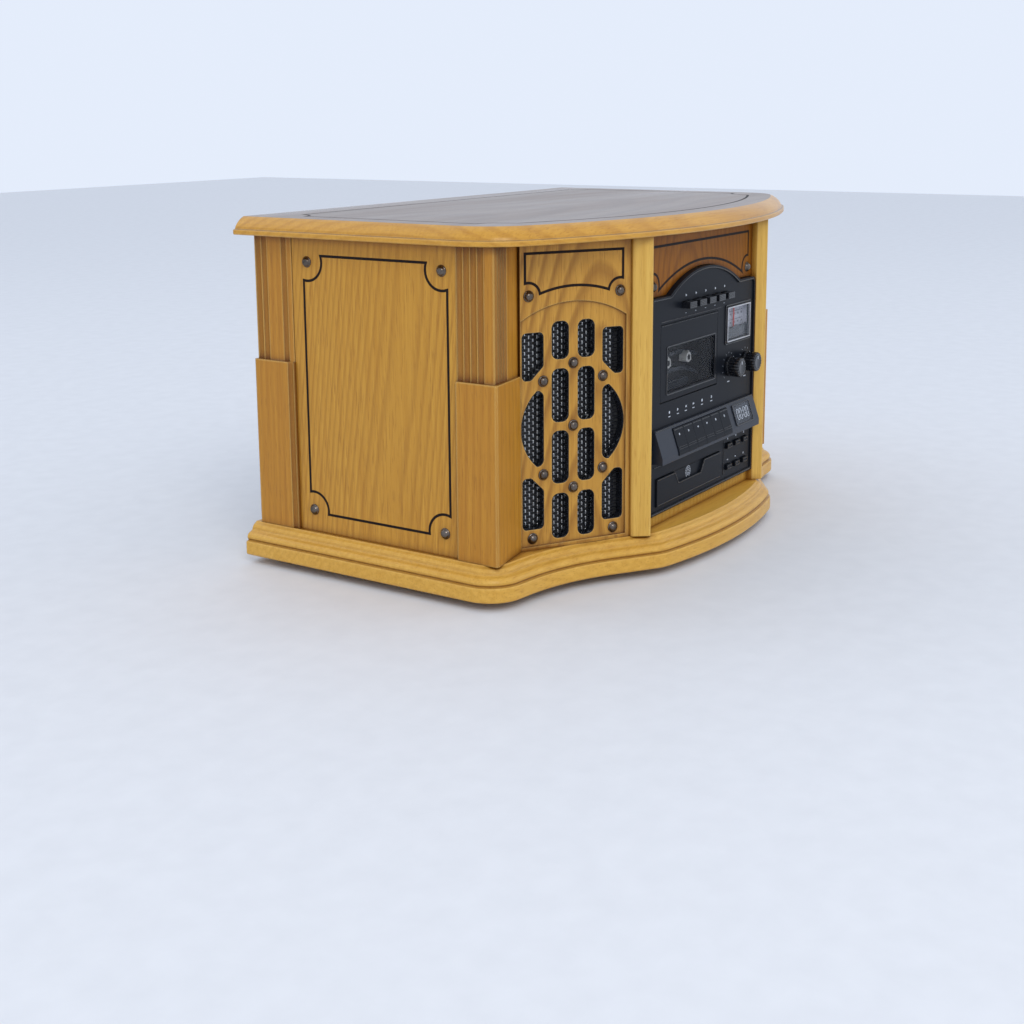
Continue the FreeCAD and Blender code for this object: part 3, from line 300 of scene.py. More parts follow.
def metal(name, tone, rough, brushed=None, wear=0.5):
    """Metal with fine brushing along an axis, or a cast surface, and darker worn patches."""
    alloy = Shader(name)
    place = alloy.stretch(alloy.position, "xyz".index(brushed), 0.02) if brushed else alloy.position
    fine = alloy.noise(place, 2600, 3, 0.6)
    patch = alloy.noise(alloy.position, 160, 4, 0.6)
    darker = tuple(value * wear for value in tone)
    alloy.colour(alloy.mix(alloy.ramp(patch, [(0.4, 0.0), (0.75, 1.0)]), tone, darker))
    alloy.set("Metallic", 1.0)
    normal = alloy.bump(fine, 0.12, 0.00005)
    return alloy.finish(alloy.ramp(patch, [(0.3, rough), (0.8, rough + 0.18)]), normal)


def rubber(name, tone, rough=0.8):
    """Dull rubber with dust in its surface."""
    skin = Shader(name)
    fine = skin.noise(skin.position, 700, 4, 0.65)
    dusty = tuple(value * 1.6 + 0.006 for value in tone)
    skin.colour(skin.mix(skin.ramp(fine, [(0.35, 0.0), (0.8, 1.0)]), tone, dusty))
    shine = skin.ramp(fine, [(0.3, rough - 0.08), (0.8, min(1.0, rough + 0.1))])
    return skin.finish(shine, skin.bump(fine, 0.3, 0.0002))


def window(name, tone, rough, alpha):
    """Thin tinted window with faint smears."""
    glass = Shader(name)
    smear = glass.noise(glass.position, 60, 4, 0.6)
    smeared = tuple(value * 1.5 + 0.01 for value in tone)
    glass.colour(glass.mix(glass.ramp(smear, [(0.35, 0.0), (0.8, 0.6)]), tone, smeared))
    glass.set("Alpha", alpha)
    glass.material.surface_render_method = "BLENDED"
    return glass.finish(glass.ramp(smear, [(0.3, rough), (0.8, rough + 0.08)]))


def painted(name, tone, rough=0.45):
    """Printed or painted mark with slight unevenness."""
    paint = Shader(name)
    patch = paint.noise(paint.position, 500, 4, 0.6)
    paint.set("Specular IOR Level", 0.15)
    thin = tuple(value * 0.75 for value in tone)
    paint.colour(paint.mix(paint.ramp(patch, [(0.3, 0.0), (0.8, 0.5)]), tone, thin))
    shine = paint.ramp(patch, [(0.3, rough - 0.05), (0.7, rough + 0.1)])
    return paint.finish(shine, paint.bump(patch, 0.1, 0.00005))


def hardboard(name):
    """Brown pressed board with a fibrous face."""
    board = Shader(name)
    fibre = board.noise(board.position, 420, 5, 0.7)
    speck = board.cells(board.position, 500)
    base = board.ramp(fibre, [(0.3, (0.060, 0.034, 0.018)), (0.75, (0.135, 0.082, 0.045))])
    base = board.mix(board.ramp(speck, [(0.05, 0.4), (0.3, 0.0)]), base, (0.03, 0.017, 0.01))
    board.colour(base)
    return board.finish(board.ramp(fibre, [(0.3, 0.62), (0.8, 0.8)]), board.bump(fibre, 0.4, 0.0003))


def circuit(name):
    """Green circuit board with lighter tracks."""
    board = Shader(name)
    track = board.cells(board.stretch(board.position, 2, 0.2), 90)
    board.colour(board.ramp(track, [(0.2, (0.03, 0.16, 0.06)), (0.32, (0.02, 0.09, 0.035))]))
    return board.finish(board.ramp(track, [(0.2, 0.35), (0.4, 0.5)]), board.bump(track, 0.2, 0.0002))


HONEY = ((0.63, 0.325, 0.040), (0.50, 0.230, 0.022), (0.24, 0.080, 0.006))
AMBER = ((0.60, 0.315, 0.048), (0.47, 0.225, 0.028), (0.20, 0.068, 0.006))
SADDLE = ((0.58, 0.275, 0.028), (0.44, 0.180, 0.014), (0.20, 0.062, 0.004))
PALE = ((0.76, 0.475, 0.100), (0.64, 0.365, 0.062), (0.40, 0.170, 0.018))
SHADED = ((0.33, 0.125, 0.010), (0.24, 0.080, 0.006), (0.10, 0.028, 0.003))
GOLD = ((0.76, 0.440, 0.082), (0.64, 0.340, 0.048), (0.38, 0.150, 0.014))
RICH = ((0.68, 0.355, 0.050), (0.57, 0.275, 0.030), (0.34, 0.125, 0.010))
# Grey-brown tones for the lid's top: a painted reflection of the pale sky on the lacquer.
PAINTED_SKY_REFLECTION = ((0.21, 0.135, 0.085), (0.15, 0.092, 0.058), (0.07, 0.038, 0.026))

WOODS = {
    "left_side_panel": veneer("oak_left", "z", (-292, 42, -60), 0.13, HONEY, ring=5.5, figure=0.45),
    "right_side_panel": veneer("oak_right", "z", (292, 32, -60), -0.13, HONEY, ring=5.5, figure=0.45),
    "pilasters": veneer("oak_pilaster", "z", (-330, -180, 0), 0.02, SADDLE, ring=7.0, figure=0.3,
                        open_at=0.985, edge=0.0028),
    "baffle": veneer("oak_baffle", "z", (-185, -150, 20), 0.16, AMBER, ring=7.0, figure=0.75),
    "posts": veneer("oak_post", "z", (-130, -220, 0), 0.02, PALE, ring=6.0, figure=0.2),
    # Painted shade: the valance takes the darker SHADED tones for the shade under the lid, and its low
    # rail keeps pale tones.
    "rails": veneer("oak_rail", "z", (-20, -190, 200), 0.2, SHADED, ring=6.5, figure=0.5, coat=0.0,
                    shine=0.08, foot=PALE),
    "plinth": veneer("oak_plinth", "x", (-900, 0, -80), 0.03, GOLD, ring=6.5, figure=0.15),
    "lid": veneer("oak_lid", "x", (-1500, 20, 180), 0.07, RICH, ring=9.0, gloss=0.30, coat=0.2,
                  figure=0.45, top=PAINTED_SKY_REFLECTION),
}
FINISHES = {
    "black_plastic": moulded_plastic("black_plastic", (0.0045, 0.006, 0.0095), 0.34, depth=0.1,
                                     shine=0.09),
    "console_black": moulded_plastic("console_black", (0.012, 0.016, 0.026), 0.3, depth=0.1, shine=0.3),
    "gloss_black": moulded_plastic("gloss_black", (0.006, 0.007, 0.010), 0.12, 900, 0.04, 0.5),
    "well_black": moulded_plastic("well_black", (0.006, 0.007, 0.009), 0.3, 400, 0.0, 0.2),
    "well_rib": moulded_plastic("well_rib", (0.030, 0.036, 0.046), 0.25, 400, 0.0, 0.3),
    "smoked_window": window("smoked_window", (0.010, 0.012, 0.016), 0.05, 0.16),
    "clear_window": window("clear_window", (0.35, 0.38, 0.42), 0.06, 0.10),
    "dial_white": painted("dial_white", (0.46, 0.46, 0.52)),
    "pointer_red": painted("pointer_red", (0.62, 0.04, 0.02), 0.35),
    "mesh_metal": metal("mesh_metal", (0.72, 0.73, 0.74), 0.34, wear=0.75),
    "pewter": metal("pewter", (0.16, 0.135, 0.115), 0.20, wear=0.3),
    "steel": metal("steel", (0.62, 0.62, 0.63), 0.28, "z", 0.8),
    "rubber": rubber("rubber", (0.015, 0.015, 0.016)),
    "mat_rubber": rubber("mat_rubber", (0.020, 0.020, 0.022), 0.7),
    "platter_metal": metal("platter_metal", (0.72, 0.72, 0.74), 0.25, wear=0.85),
    "arm_metal": metal("arm_metal", (0.70, 0.71, 0.73), 0.2, wear=0.85),
    "brass": metal("brass", (0.70, 0.48, 0.18), 0.3),
    "speaker_black": rubber("speaker_black", (0.010, 0.010, 0.011), 0.85),
    "hub_white": painted("hub_white", (0.62, 0.62, 0.60)),
    "board_green": circuit("board_green"),
    "backboard": hardboard("backboard"),
    "inlay": painted("inlay", (0.012, 0.006, 0.004), 0.55),
    "legend": painted("legend", (0.62, 0.66, 0.72)),
    "socket_red": painted("socket_red", (0.55, 0.02, 0.015), 0.3),
}


# ---------------------------------------------------------------- geometry helpers

def side_plane(side):
    """Outer face of a side panel: u runs along y, v is the height, h points outwards."""
    return lambda u, v, h: Vector((side * (SIDE_FACE + h), u, v)) * MM


def baffle_plane(side):
    """Face of a speaker baffle: u runs along it from its outer edge, v is the height, h is outwards."""
    along = (math.cos(BAFFLE_TURN), -math.sin(BAFFLE_TURN))
    inward = (math.sin(BAFFLE_TURN), math.cos(BAFFLE_TURN))

    def place(u, v, h):
        x = BAFFLE_START[0] + u * along[0] - h * inward[0]
        y = BAFFLE_START[1] + u * along[1] - h * inward[1]
        return Vector((-side * x, y, v)) * MM
    return place


def front_plane(y):
    """Upright plane that faces the front: u is x, v is the height."""
    return lambda u, v, h: Vector((u, y - h, v)) * MM


def level_plane(z):
    """Level plane: u is x, v is y, h points up."""
    return lambda u, v, h: Vector((u, v, z + h)) * MM


def back_plane(y):
    """Upright plane that faces the rear: u is x, v is the height."""
    return lambda u, v, h: Vector((u, y + h, v)) * MM


def console_plane():
    """Sloping front of the key housing: u is x, v is the height along it."""
    top, low = Vector((-152.0, 131.0)), Vector((-160.4, 106.0))
    out = Vector((low.y - top.y, top.x - low.x)).normalized()

    def place(u, v, h):
        share = (top.y - v) / (top.y - low.y)
        return Vector((u, top.x + (low.x - top.x) * share + out.x * h, v + out.y * h)) * MM
    return place


def add_piece(name, mesh, body, finish, smooth=30):
    """Link a mesh as a piece of a body with its finish; smooth is the angle under which faces blend."""
    mesh.materials.append(finish)
    if smooth:
        mesh.shade_smooth()
        mesh.set_sharp_from_angle(angle=math.radians(smooth))
    item = bpy.data.objects.new(name, mesh)
    bpy.context.scene.collection.objects.link(item)
    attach(item, body)
    return item


def to_mesh(name, shape):
    """Close a bmesh into a mesh whose faces look outwards."""
    bmesh.ops.recalc_face_normals(shape, faces=shape.faces)
    mesh = bpy.data.meshes.new(name)
    shape.to_mesh(mesh)
    shape.free()
    return mesh


def finished(name, shape, body, finish, smooth=30):
    """A bmesh as a piece with the finish of a name."""
    return add_piece(name, to_mesh(name, shape), body, FINISHES[finish], smooth)


def arc_points(centre, radius, start, end, steps=10):
    """Points on an arc between two angles in degrees."""
    angles = [math.radians(start + (end - start) * index / steps) for index in range(steps + 1)]
    return [(centre[0] + radius * math.cos(angle), centre[1] + radius * math.sin(angle))
            for angle in angles]


def arc_through(first, middle, last, steps=16):
    """Points on the arc through three points."""
    (ax, ay), (bx, by), (cx, cy) = first, middle, last
    twice = 2 * (ax * (by - cy) + bx * (cy - ay) + cx * (ay - by))
    sa, sb, sc = ax * ax + ay * ay, bx * bx + by * by, cx * cx + cy * cy
    x = (sa * (by - cy) + sb * (cy - ay) + sc * (ay - by)) / twice
    y = (sa * (cx - bx) + sb * (ax - cx) + sc * (bx - ax)) / twice
    radius = math.hypot(ax - x, ay - y)
    start, via, end = (math.degrees(math.atan2(py - y, px - x)) for px, py in (first, middle, last))
    sweep = (end - start) % 360
    if (via - start) % 360 > sweep:
        sweep -= 360
    return arc_points((x, y), radius, start, start + sweep, steps)


def rounded(corners, radius, steps=5):
    """Closed outline through corners, each rounded by a tangent arc."""
    points = []
    for index, corner in enumerate(corners):
        here = Vector(corner)
        back = (Vector(corners[index - 1]) - here).normalized()
        ahead = (Vector(corners[(index + 1) % len(corners)]) - here).normalized()
        half = back.angle(ahead) / 2
        if radius <= 0 or half < 1e-3:
            points.append(corner)
            continue
        reach = radius / math.tan(half)
        centre = here + (back + ahead).normalized() * (radius / math.sin(half))
        first, last = here + back * reach, here + ahead * reach
        start = math.atan2(first.y - centre.y, first.x - centre.x)
        sweep = math.atan2(last.y - centre.y, last.x - centre.x) - start
        sweep = (sweep + math.pi) % (2 * math.pi) - math.pi
        for step in range(steps + 1):
            angle = start + sweep * step / steps
            points.append((centre.x + radius * math.cos(angle), centre.y + radius * math.sin(angle)))
    return points


def box_outline(left, right, low, high, radius=0.0):
    """Upright rectangle outline, rounded where the radius is over 0."""
    return rounded([(left, low), (right, low), (right, high), (left, high)], radius)


def moved_out(points, distance, closed=True):
    """Each point of a path moved sideways by a distance, to the right of its heading."""
    count = len(points)
    result = []
    for index in range(count):
        here = Vector(points[index])
        before = Vector(points[index - 1]) if closed or index > 0 else None
        after = Vector(points[(index + 1) % count]) if closed or index < count - 1 else None
        ways = [(here - before).normalized()] if before is not None else []
        if after is not None:
            ways.append((after - here).normalized())
        sides = [Vector((way.y, -way.x)) for way in ways]
        total = sum(sides, Vector((0, 0))).normalized()
        spread = max(0.35, total.dot(sides[0]))
        moved = here + total * (distance / spread)
        result.append((moved.x, moved.y))
    return result


def bridge(shape, first, second):
    """Faces between two rings that have the same number of points."""
    for index in range(len(first)):
        after = (index + 1) % len(first)
        shape.faces.new((first[index], first[after], second[after], second[index]))


def sweep_bar(shape, plane, path, wide, low, high, closed=True):
    """Rectangular bar along a path in a plane, between two heights over it."""
    left = moved_out(path, -wide / 2, closed)
    right = moved_out(path, wide / 2, closed)
    rings = []
    for (lu, lv), (ru, rv) in zip(left, right):
        rings.append([shape.verts.new(plane(u, v, h)) for u, v, h in
                      ((lu, lv, low), (lu, lv, high), (ru, rv, high), (ru, rv, low))])
    pairs = list(zip(rings, rings[1:] + rings[:1])) if closed else list(zip(rings, rings[1:]))
    for first, second in pairs:
        bridge(shape, first, second)
    if not closed:
        shape.faces.new(rings[0])
        shape.faces.new(rings[-1])


def prism(shape, plane, outline, low, high, inner=None):
    """Upright block over an outline, with a hole where an inner outline of the same length is given."""
    loops = [outline] if inner is None else [outline, inner]
    grid = [[[shape.verts.new(plane(u, v, h)) for u, v in loop] for h in (low, high)] for loop in loops]
    for bottom, top in grid:
        bridge(shape, bottom, top)
    for level in (0, 1):
        if inner is None:
            shape.faces.new(grid[0][level])
        else:
            bridge(shape, grid[0][level], grid[1][level])


def lathe(shape, plane, centre, profile, steps=32):
    """Surface of revolution about the plane's normal at a centre, from (radius, height) pairs."""
    rings = []
    for radius, height in profile:
        if radius < 1e-6:
            rings.append([shape.verts.new(plane(centre[0], centre[1], height))])
            continue
        rings.append([shape.verts.new(plane(u, v, height)) for u, v in
                      arc_points(centre, radius, 0, 360, steps)[:-1]])
    for first, second in zip(rings, rings[1:]):
        for index in range(steps):
            after = (index + 1) % steps
            corners = [first[index % len(first)], first[after % len(first)],
                       second[after % len(second)], second[index % len(second)]]
            unique = list(dict.fromkeys(corners))
            if len(unique) > 2:
                shape.faces.new(unique)
    for ring in (rings[0], rings[-1]):
        if len(ring) > 1:
            shape.faces.new(ring)


def mapped(plane, centre, turn=0.0, size=1.0):
    """The plane with its origin moved to a centre, turned and scaled."""
    cosine, sine = math.cos(turn) * size, math.sin(turn) * size
    return lambda u, v, h: plane(centre[0] + u * cosine - v * sine, centre[1] + u * sine + v * cosine, h)


# ---------------------------------------------------------------- wood and inlay

def finish_wood():
    """Give every CAD part its finish: veneers and two special blacks by node, the rest by slot."""
    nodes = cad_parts
    dress = {
        "base_plinth": "plinth", "pilasters": "pilasters", "left_side_panel": "left_side_panel",
        "right_side_panel": "right_side_panel", "left_speaker_baffle": "baffle",
        "right_speaker_baffle": "baffle", "front_posts": "posts", "front_rails": "rails",
        "lid_board": "lid", "cassette_well": "well_black", "key_housing": "console_black",
    }
    for name, wood in dress.items():
        nodes[name].data.materials.clear()
        nodes[name].data.materials.append(WOODS.get(wood) or FINISHES[wood])
    for name, item in nodes.items():
        if name in dress:
            continue
        slots = [material.name for material in item.data.materials if material]
        for index, label in enumerate(slots):
            key = label.split(".")[0]
            if key in FINISHES:
                item.data.materials[index] = FINISHES[key]
            else:
                print("no finish for", name, label)


def notched_frame(left, right, low, high, nails, radius):
    """Closed line round a panel whose corners curve in round the nails."""
    path = []
    for x, z, (nail_x, nail_z) in zip((left, right, right, left), (low, low, high, high), nails):
        up = 1 if z == low else -1
        across = 1 if x == left else -1
        on_side = (x, nail_z + up * math.sqrt(radius ** 2 - (x - nail_x) ** 2))
        on_level = (nail_x + across * math.sqrt(radius ** 2 - (z - nail_z) ** 2), z)
        start, end = (on_side, on_level) if (x == left) == (z == low) else (on_level, on_side)
        angles = [math.degrees(math.atan2(py - nail_z, px - nail_x)) for px, py in (start, end)]
        sweep = (angles[1] - angles[0] + 180) % 360 - 180
        path += arc_points((nail_x, nail_z), radius, angles[0], angles[0] + sweep, 12)
    return path


def arched_frame(half, top, nail, radius, foot_angle, crown):
    """Closed line over an arch: square top corners and lower corners that curve in round two nails."""
    nail_x, nail_z = nail
    start = math.degrees(math.acos((half - nail_x) / radius))
    right = arc_points((nail_x, nail_z), radius, start, foot_angle, 12)
    left = [(-x, z) for x, z in reversed(right)]
    arch = arc_through(right[-1], (0, crown), left[0], 20)[1:-1]
    return [(-half, top), (half, top)] + right + arch + left


SIDE_NAIL_YS = (-35.9, 114.2)
SIDE_NAIL_ZS = (58.5, 289.5)
VALANCE_NAIL = (102, 264)
INLAY_WIDE = 2.3


def inlays():
    """Dark lines let into the side panels, the speaker panels, the valance and the lid."""
    shape = bmesh.new()
    for side in SIDES:
        (front_y, rear_y), (low_z, high_z) = SIDE_NAIL_YS, SIDE_NAIL_ZS
        nail_places = [(front_y, low_z), (rear_y, low_z), (rear_y, high_z), (front_y, high_z)]
        line = notched_frame(-41.8, 118.2, 55.9, 295.5, nail_places, 17.2)
        sweep_bar(shape, side_plane(side), line, INLAY_WIDE, -0.5, 0.12)
        panel = [(u + 53.6, v) for u, v in arched_frame(48.6, 302, (45.6, 265.3), 11.5, 172, 272.4)]
        sweep_bar(shape, baffle_plane(side), panel, INLAY_WIDE, -0.5, 0.12)
    valance = arched_frame(104, 300, VALANCE_NAIL, 12, 200, 281)
    sweep_bar(shape, front_plane(RAIL_FACE), valance, INLAY_WIDE, -0.5, 0.12)
    finished("cabinet_inlay", shape, "cabinet", "inlay", 40)

    shape = bmesh.new()
    half, rear, inset = 256.0, 150.0, 39.5
    bow_centre, bow_radius = 421.8, 597.8 - inset
    front = bow_centre - math.sqrt(bow_radius ** 2 - half ** 2)
    notch = 17.0
    corner = math.degrees(math.asin(half / bow_radius))
    trim = math.degrees(notch / bow_radius)
    path = []
    for side in SIDES:
        starts, ends, last = (180, 270, 180 - corner) if side > 0 else (0, -90, corner)
        path_side = [(side * (half - notch), rear)]
        path_side += arc_points((side * half, rear), notch, starts, ends, 8)[1:]
        path_side += [(side * half, front + notch)]
        path_side += arc_points((side * half, front), notch, 90, last, 8)[1:]
        path.append(path_side)
    bow = arc_points((0, bow_centre), bow_radius, -90 + corner - trim, -90 - corner + trim, 60)
    loop = path[1] + bow[1:-1] + path[0][::-1]
    sweep_bar(shape, level_plane(LID_TOP), loop, 2.6, -0.5, 0.03)
    finished("lid_inlay", shape, "lid", "inlay", 40)


# ---------------------------------------------------------------- speakers and nails

SLOT_OUTER = (2.3, 23.8)
SLOT_INNER = (31.6, 48.8)
INNER_ROWS = ((45.0, 86.5), (95.5, 143.6), (151.3, 199.5), (207.7, 241.6))
NAIL_SPOTS = ((53.2, 203.6), (53.2, 147.2), (53.2, 90.6), (23.2, 189.5), (83.2, 189.5),
              (23.2, 105.3), (83.2, 105.3), (12.2, 48), (94.2, 48))
TOP_NAILS = ((8.4, 265.3), (99.4, 265.3))


def slot_outlines():
    """Outlines of a baffle's slots."""
    near, far = SLOT_OUTER
    upper = rounded([(near, 190.6), (11.3, 190.6), (far, 202.8), (far, 233), (near, 233)], 4.5)
    lower = rounded([(near, 56), (far, 56), (far, 91), (11.3, 103.4), (near, 103.4)], 4.5)
    low, high = 113.0, 181.2
    middle = (low + high) / 2
    bulge = arc_through((16.8, low), (near - 1, middle), (16.8, high), 22)
    bulge += arc_through((16.8, high), (22, high - 1.8), (far, high - 7), 5)[1:]
    bulge += arc_through((far, low + 7), (22, low + 1.8), (16.8, low), 5)[:-1]
    inner = [box_outline(*SLOT_INNER, row_low, row_high, 6.5) for row_low, row_high in INNER_ROWS]
    half = [upper, lower, bulge] + inner
    return half + [[(2 * SLOT_MIDDLE - u, v) for u, v in reversed(outline)] for outline in half]


def turned_left(points):
    """The outline, turned so that it runs anticlockwise."""
    area = sum(a[0] * b[1] - b[0] * a[1] for a, b in zip(points, points[1:] + points[:1]))
    return points if area > 0 else points[::-1]


def slot_liners():
    """Black liners of the slots."""
    shape = bmesh.new()
    for side in SIDES:
        plane = baffle_plane(side)
        for outline in slot_outlines():
            outline = turned_left(outline)
            wall = moved_out(outline, 0.05)
            inner = moved_out(outline, -0.55)
            prism(shape, plane, wall, -BAFFLE_THICK, -FIELD_DEEP - 0.25, inner)
    finished("slot_liners", shape, "cabinet", "gloss_black", 35)


MESH_PITCH = (8.2, 2.85)
MESH_HOLE = (6.6, 1.9)
DASH = (1.25, 3.9)


def mesh_spots(low_u, high_u, low_v, high_v):
    """Centres of the staggered openings that lie behind or near a slot."""
    boxes = []
    for outline in slot_outlines():
        us, vs = [point[0] for point in outline], [point[1] for point in outline]
        boxes.append((min(us) - 6, max(us) + 10, min(vs) - 5, max(vs) + 5))
    spots = []
    for row in range(int((high_v - low_v) / MESH_PITCH[1])):
        offset = MESH_PITCH[0] / 2 if row % 2 else 0.0
        for column in range(int((high_u - low_u) / MESH_PITCH[0])):
            u = low_u + offset + MESH_PITCH[0] * (column + 0.5)
            v = low_v + MESH_PITCH[1] * (row + 0.5)
            if any(left < u < right and low < v < high for left, right, low, high in boxes):
                spots.append((u, v))
    return spots


def hexagon(half_u, half_v, shoulder):
    """Six corners about a centre: a point below and above, and shoulders at each side."""
    return [(-half_u, -shoulder), (0, -half_v), (half_u, -shoulder),
            (half_u, shoulder), (0, half_v), (-half_u, shoulder)]


def perforated(shape, plane, spots, near, far):
    """Sheet with oblong openings at the spots, between two heights over a plane."""
    known = {}

    def corner(u, v, h):
        key = (round(u * 100), round(v * 100), round(h * 100))
        if key not in known:
            known[key] = shape.verts.new(plane(u, v, h))
        return known[key]

    half_u, half_v = MESH_HOLE[0] / 2, MESH_HOLE[1] / 2
    reach_u, reach_v = MESH_PITCH[0] / 2, MESH_PITCH[1] / 2
    hole = hexagon(half_u, half_v, half_v * 0.4)
    rim = hexagon(reach_u, reach_v, reach_v)
    for u, v in spots:
        for h in (near, far):
            outer = [corner(u + du, v + dv, h) for du, dv in rim]
            inner = [corner(u + du, v + dv, h) for du, dv in hole]
            bridge(shape, outer, inner)
        for index in range(6):
            (first_u, first_v), (second_u, second_v) = hole[index], hole[(index + 1) % 6]
            edge = ((first_u, first_v, near), (second_u, second_v, near),
                    (second_u, second_v, far), (first_u, first_v, far))
            shape.faces.new([corner(u + du, v + dv, h) for du, dv, h in edge])


def speaker_fronts():
    """Expanded metal and black cloth behind the slots; the metal's strands are a gloss black sheet as
    painted shade, and only its raised bonds are bright metal.
    """
    shape = bmesh.new()
    bonds = bmesh.new()
    cloth = bmesh.new()
    half_u, half_v = DASH[0] / 2, DASH[1] / 2
    for side in SIDES:
        plane = baffle_plane(side)
        spots = mesh_spots(2.0, BAFFLE_WIDE - 3.0, 41, 250)
        # Painted shade: the strands of the expanded metal are gloss black, as if turned away from the
        # light.
        perforated(shape, plane, spots, -BAFFLE_THICK - 0.1, -BAFFLE_THICK - 0.5)
        for u, v in spots:
            centre = u - MESH_PITCH[0] / 2
            foot = [(centre + du, v + dv) for du, dv in hexagon(half_u, half_v, half_v - 0.7)]
            head = [(centre + (x - centre) * 0.45, v + (z - v) * 0.8) for x, z in foot]
            low = [bonds.verts.new(plane(x, z, -BAFFLE_THICK - 0.45)) for x, z in foot]
            mid = [bonds.verts.new(plane(x, z, -BAFFLE_THICK - 0.05)) for x, z in foot]
            high = [bonds.verts.new(plane(x, z, -BAFFLE_THICK + 0.3)) for x, z in head]
            bridge(bonds, low, mid)
            bridge(bonds, mid, high)
            bonds.faces.new(high)
            bonds.faces.new(low)
        prism(cloth, plane, box_outline(1.6, BAFFLE_WIDE - 2.6, 40, 251), -BAFFLE_THICK - 0.78,
              -BAFFLE_THICK - 0.62)
    sheet = finished("mesh_strands_painted_shade", shape, "cabinet", "gloss_black", 0)
    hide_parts("speaker_grilles")
    finished("mesh_bonds", bonds, "cabinet", "mesh_metal", 0)
    finished("speaker_cloth", cloth, "cabinet", "speaker_black", 0)


NAIL_PROFILE = ((5.0, -0.6), (5.1, 0.25), (4.75, 0.7), (4.35, 0.85), (4.15, 1.25), (3.6, 2.15),
                (2.7, 3.05), (1.5, 3.65), (0.5, 3.85), (0.0, 3.9))


def nails():
    """Domed nail heads with a turned rim."""
    shape = bmesh.new()
    for side in SIDES:
        plane = baffle_plane(side)
        for u, v in NAIL_SPOTS:
            sunk = [(radius, height - FIELD_DEEP) for radius, height in NAIL_PROFILE]
            lathe(shape, plane, (u, v), sunk, 24)
        for u, v in TOP_NAILS:
            lathe(shape, plane, (u, v), NAIL_PROFILE, 24)
        for y in SIDE_NAIL_YS:
            for z in SIDE_NAIL_ZS:
                lathe(shape, side_plane(side), (y, z), NAIL_PROFILE, 24)
        nail_x, nail_z = VALANCE_NAIL
        lathe(shape, front_plane(RAIL_FACE), (side * nail_x, nail_z), NAIL_PROFILE, 24)
    heads = finished("nail_heads", shape, "cabinet", "pewter", 50)
    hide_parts("dome_nails")


# ---------------------------------------------------------------- control panel

BUTTON_XS = tuple(-43 + 21 * index for index in range(5))
KEY_LEGEND_XS = (-73.5, -56.0, -39.2, -22.9, -4.4, 16.5)
KNOB_XS = (55.0, 93.8)
KNOB_Z = 168.0
CD_BUTTON_XS = (57, 76, 95)
TAPE_MARKS = ("record", "play", "rewind", "forward", "stop", "pause")
TRIANGLE = ((-1.0, -1.0), (0.9, 0.0), (-1.0, 1.0))


def icon(shape, plane, kind, low=-0.2, high=0.1):
    """Generic control mark two units across."""
    back = [(-u, v) for u, v in reversed(TRIANGLE)]
    half = [(u * 0.55, v * 0.8) for u, v in TRIANGLE]
    half_back = [(-u, v) for u, v in reversed(half)]
    outlines = {
        "play": [TRIANGLE],
        "back": [back],
        "forward": [[(u - 0.55, v) for u, v in half], [(u + 0.55, v) for u, v in half]],
        "rewind": [[(u - 0.55, v) for u, v in half_back], [(u + 0.55, v) for u, v in half_back]],
        "stop": [box_outline(-0.8, 0.8, -0.8, 0.8)],
        "record": [arc_points((0, 0), 0.85, 0, 360, 16)[:-1]],
        "pause": [box_outline(-0.7, -0.2, -0.9, 0.9), box_outline(0.2, 0.7, -0.9, 0.9)],
        "eject": [((-1, -0.3), (1, -0.3), (0, 0.9)), box_outline(-1, 1, -0.95, -0.6)],
        "dash": [box_outline(-1.6, 1.6, -0.28, 0.28)],
    }
    for outline in outlines[kind]:
        prism(shape, plane, list(outline), low, high)


def legends():
    """Small printed marks on the control panel."""
    plane = front_plane(FASCIA_FACE)
    shape = bmesh.new()
    for x in BUTTON_XS:
        icon(shape, mapped(plane, (x + 1.2, 250.6), 0, 1.3), "play")
        icon(shape, mapped(plane, (x + 0.5, 233.8), 0, 0.8), "dash")
    for x, kind in zip(KEY_LEGEND_XS, TAPE_MARKS):
        icon(shape, mapped(plane, (x, 143.3), 0, 1.5), kind)
        icon(shape, mapped(plane, (x, 139.2), 0, 1.3), "dash")
    for x in KNOB_XS:
        icon(shape, mapped(plane, (x, 152.5), 0, 1.6), "dash")
        for step in range(11):
            angle = math.radians(225 - 27 * step)
            spot = (x + 14 * math.cos(angle), KNOB_Z + 14 * math.sin(angle))
            icon(shape, mapped(plane, spot, angle, 0.45), "dash")
    for x, kind in zip(CD_BUTTON_XS, ("play", "stop", "pause")):
        icon(shape, mapped(plane, (x, 93.0), 0, 1.1), kind)
    for x, kind in zip(CD_BUTTON_XS, ("rewind", "forward", "eject")):
        icon(shape, mapped(plane, (x, 71.0), 0, 1.1), kind)
    finished("panel_legends", shape, "cabinet", "legend", 0)

    shape = bmesh.new()
    sweep_bar(shape, plane, [(-92, 230.3), (37, 230.3)], 0.7, -0.2, 0.35, closed=False)
    sweep_bar(shape, plane, box_outline(45.2, 103.4, 191.2, 230.2, 2.0), 1.3, -0.2, 0.9)
    sweep_bar(shape, plane, [(-104, 95.5), (106, 95.5)], 0.8, -0.2, 0.4, closed=False)
    sweep_bar(shape, plane, [(47, 57), (47, 92)], 0.8, -0.2, 0.4, closed=False)
    sweep_bar(shape, plane, [(-110, 51.3), (110, 51.3)], 1.2, 0.9, 1.7, closed=False)
    rim = arc_through((-74.5, 251.6), (0, 272.6), (74.5, 251.6), 40)
    sweep_bar(shape, plane, [(-110, 251.9)] + rim + [(110, 251.9)], 1.0, 0.9, 1.65, closed=False)
    finished("panel_ridges", shape, "cabinet", "gloss_black", 30)


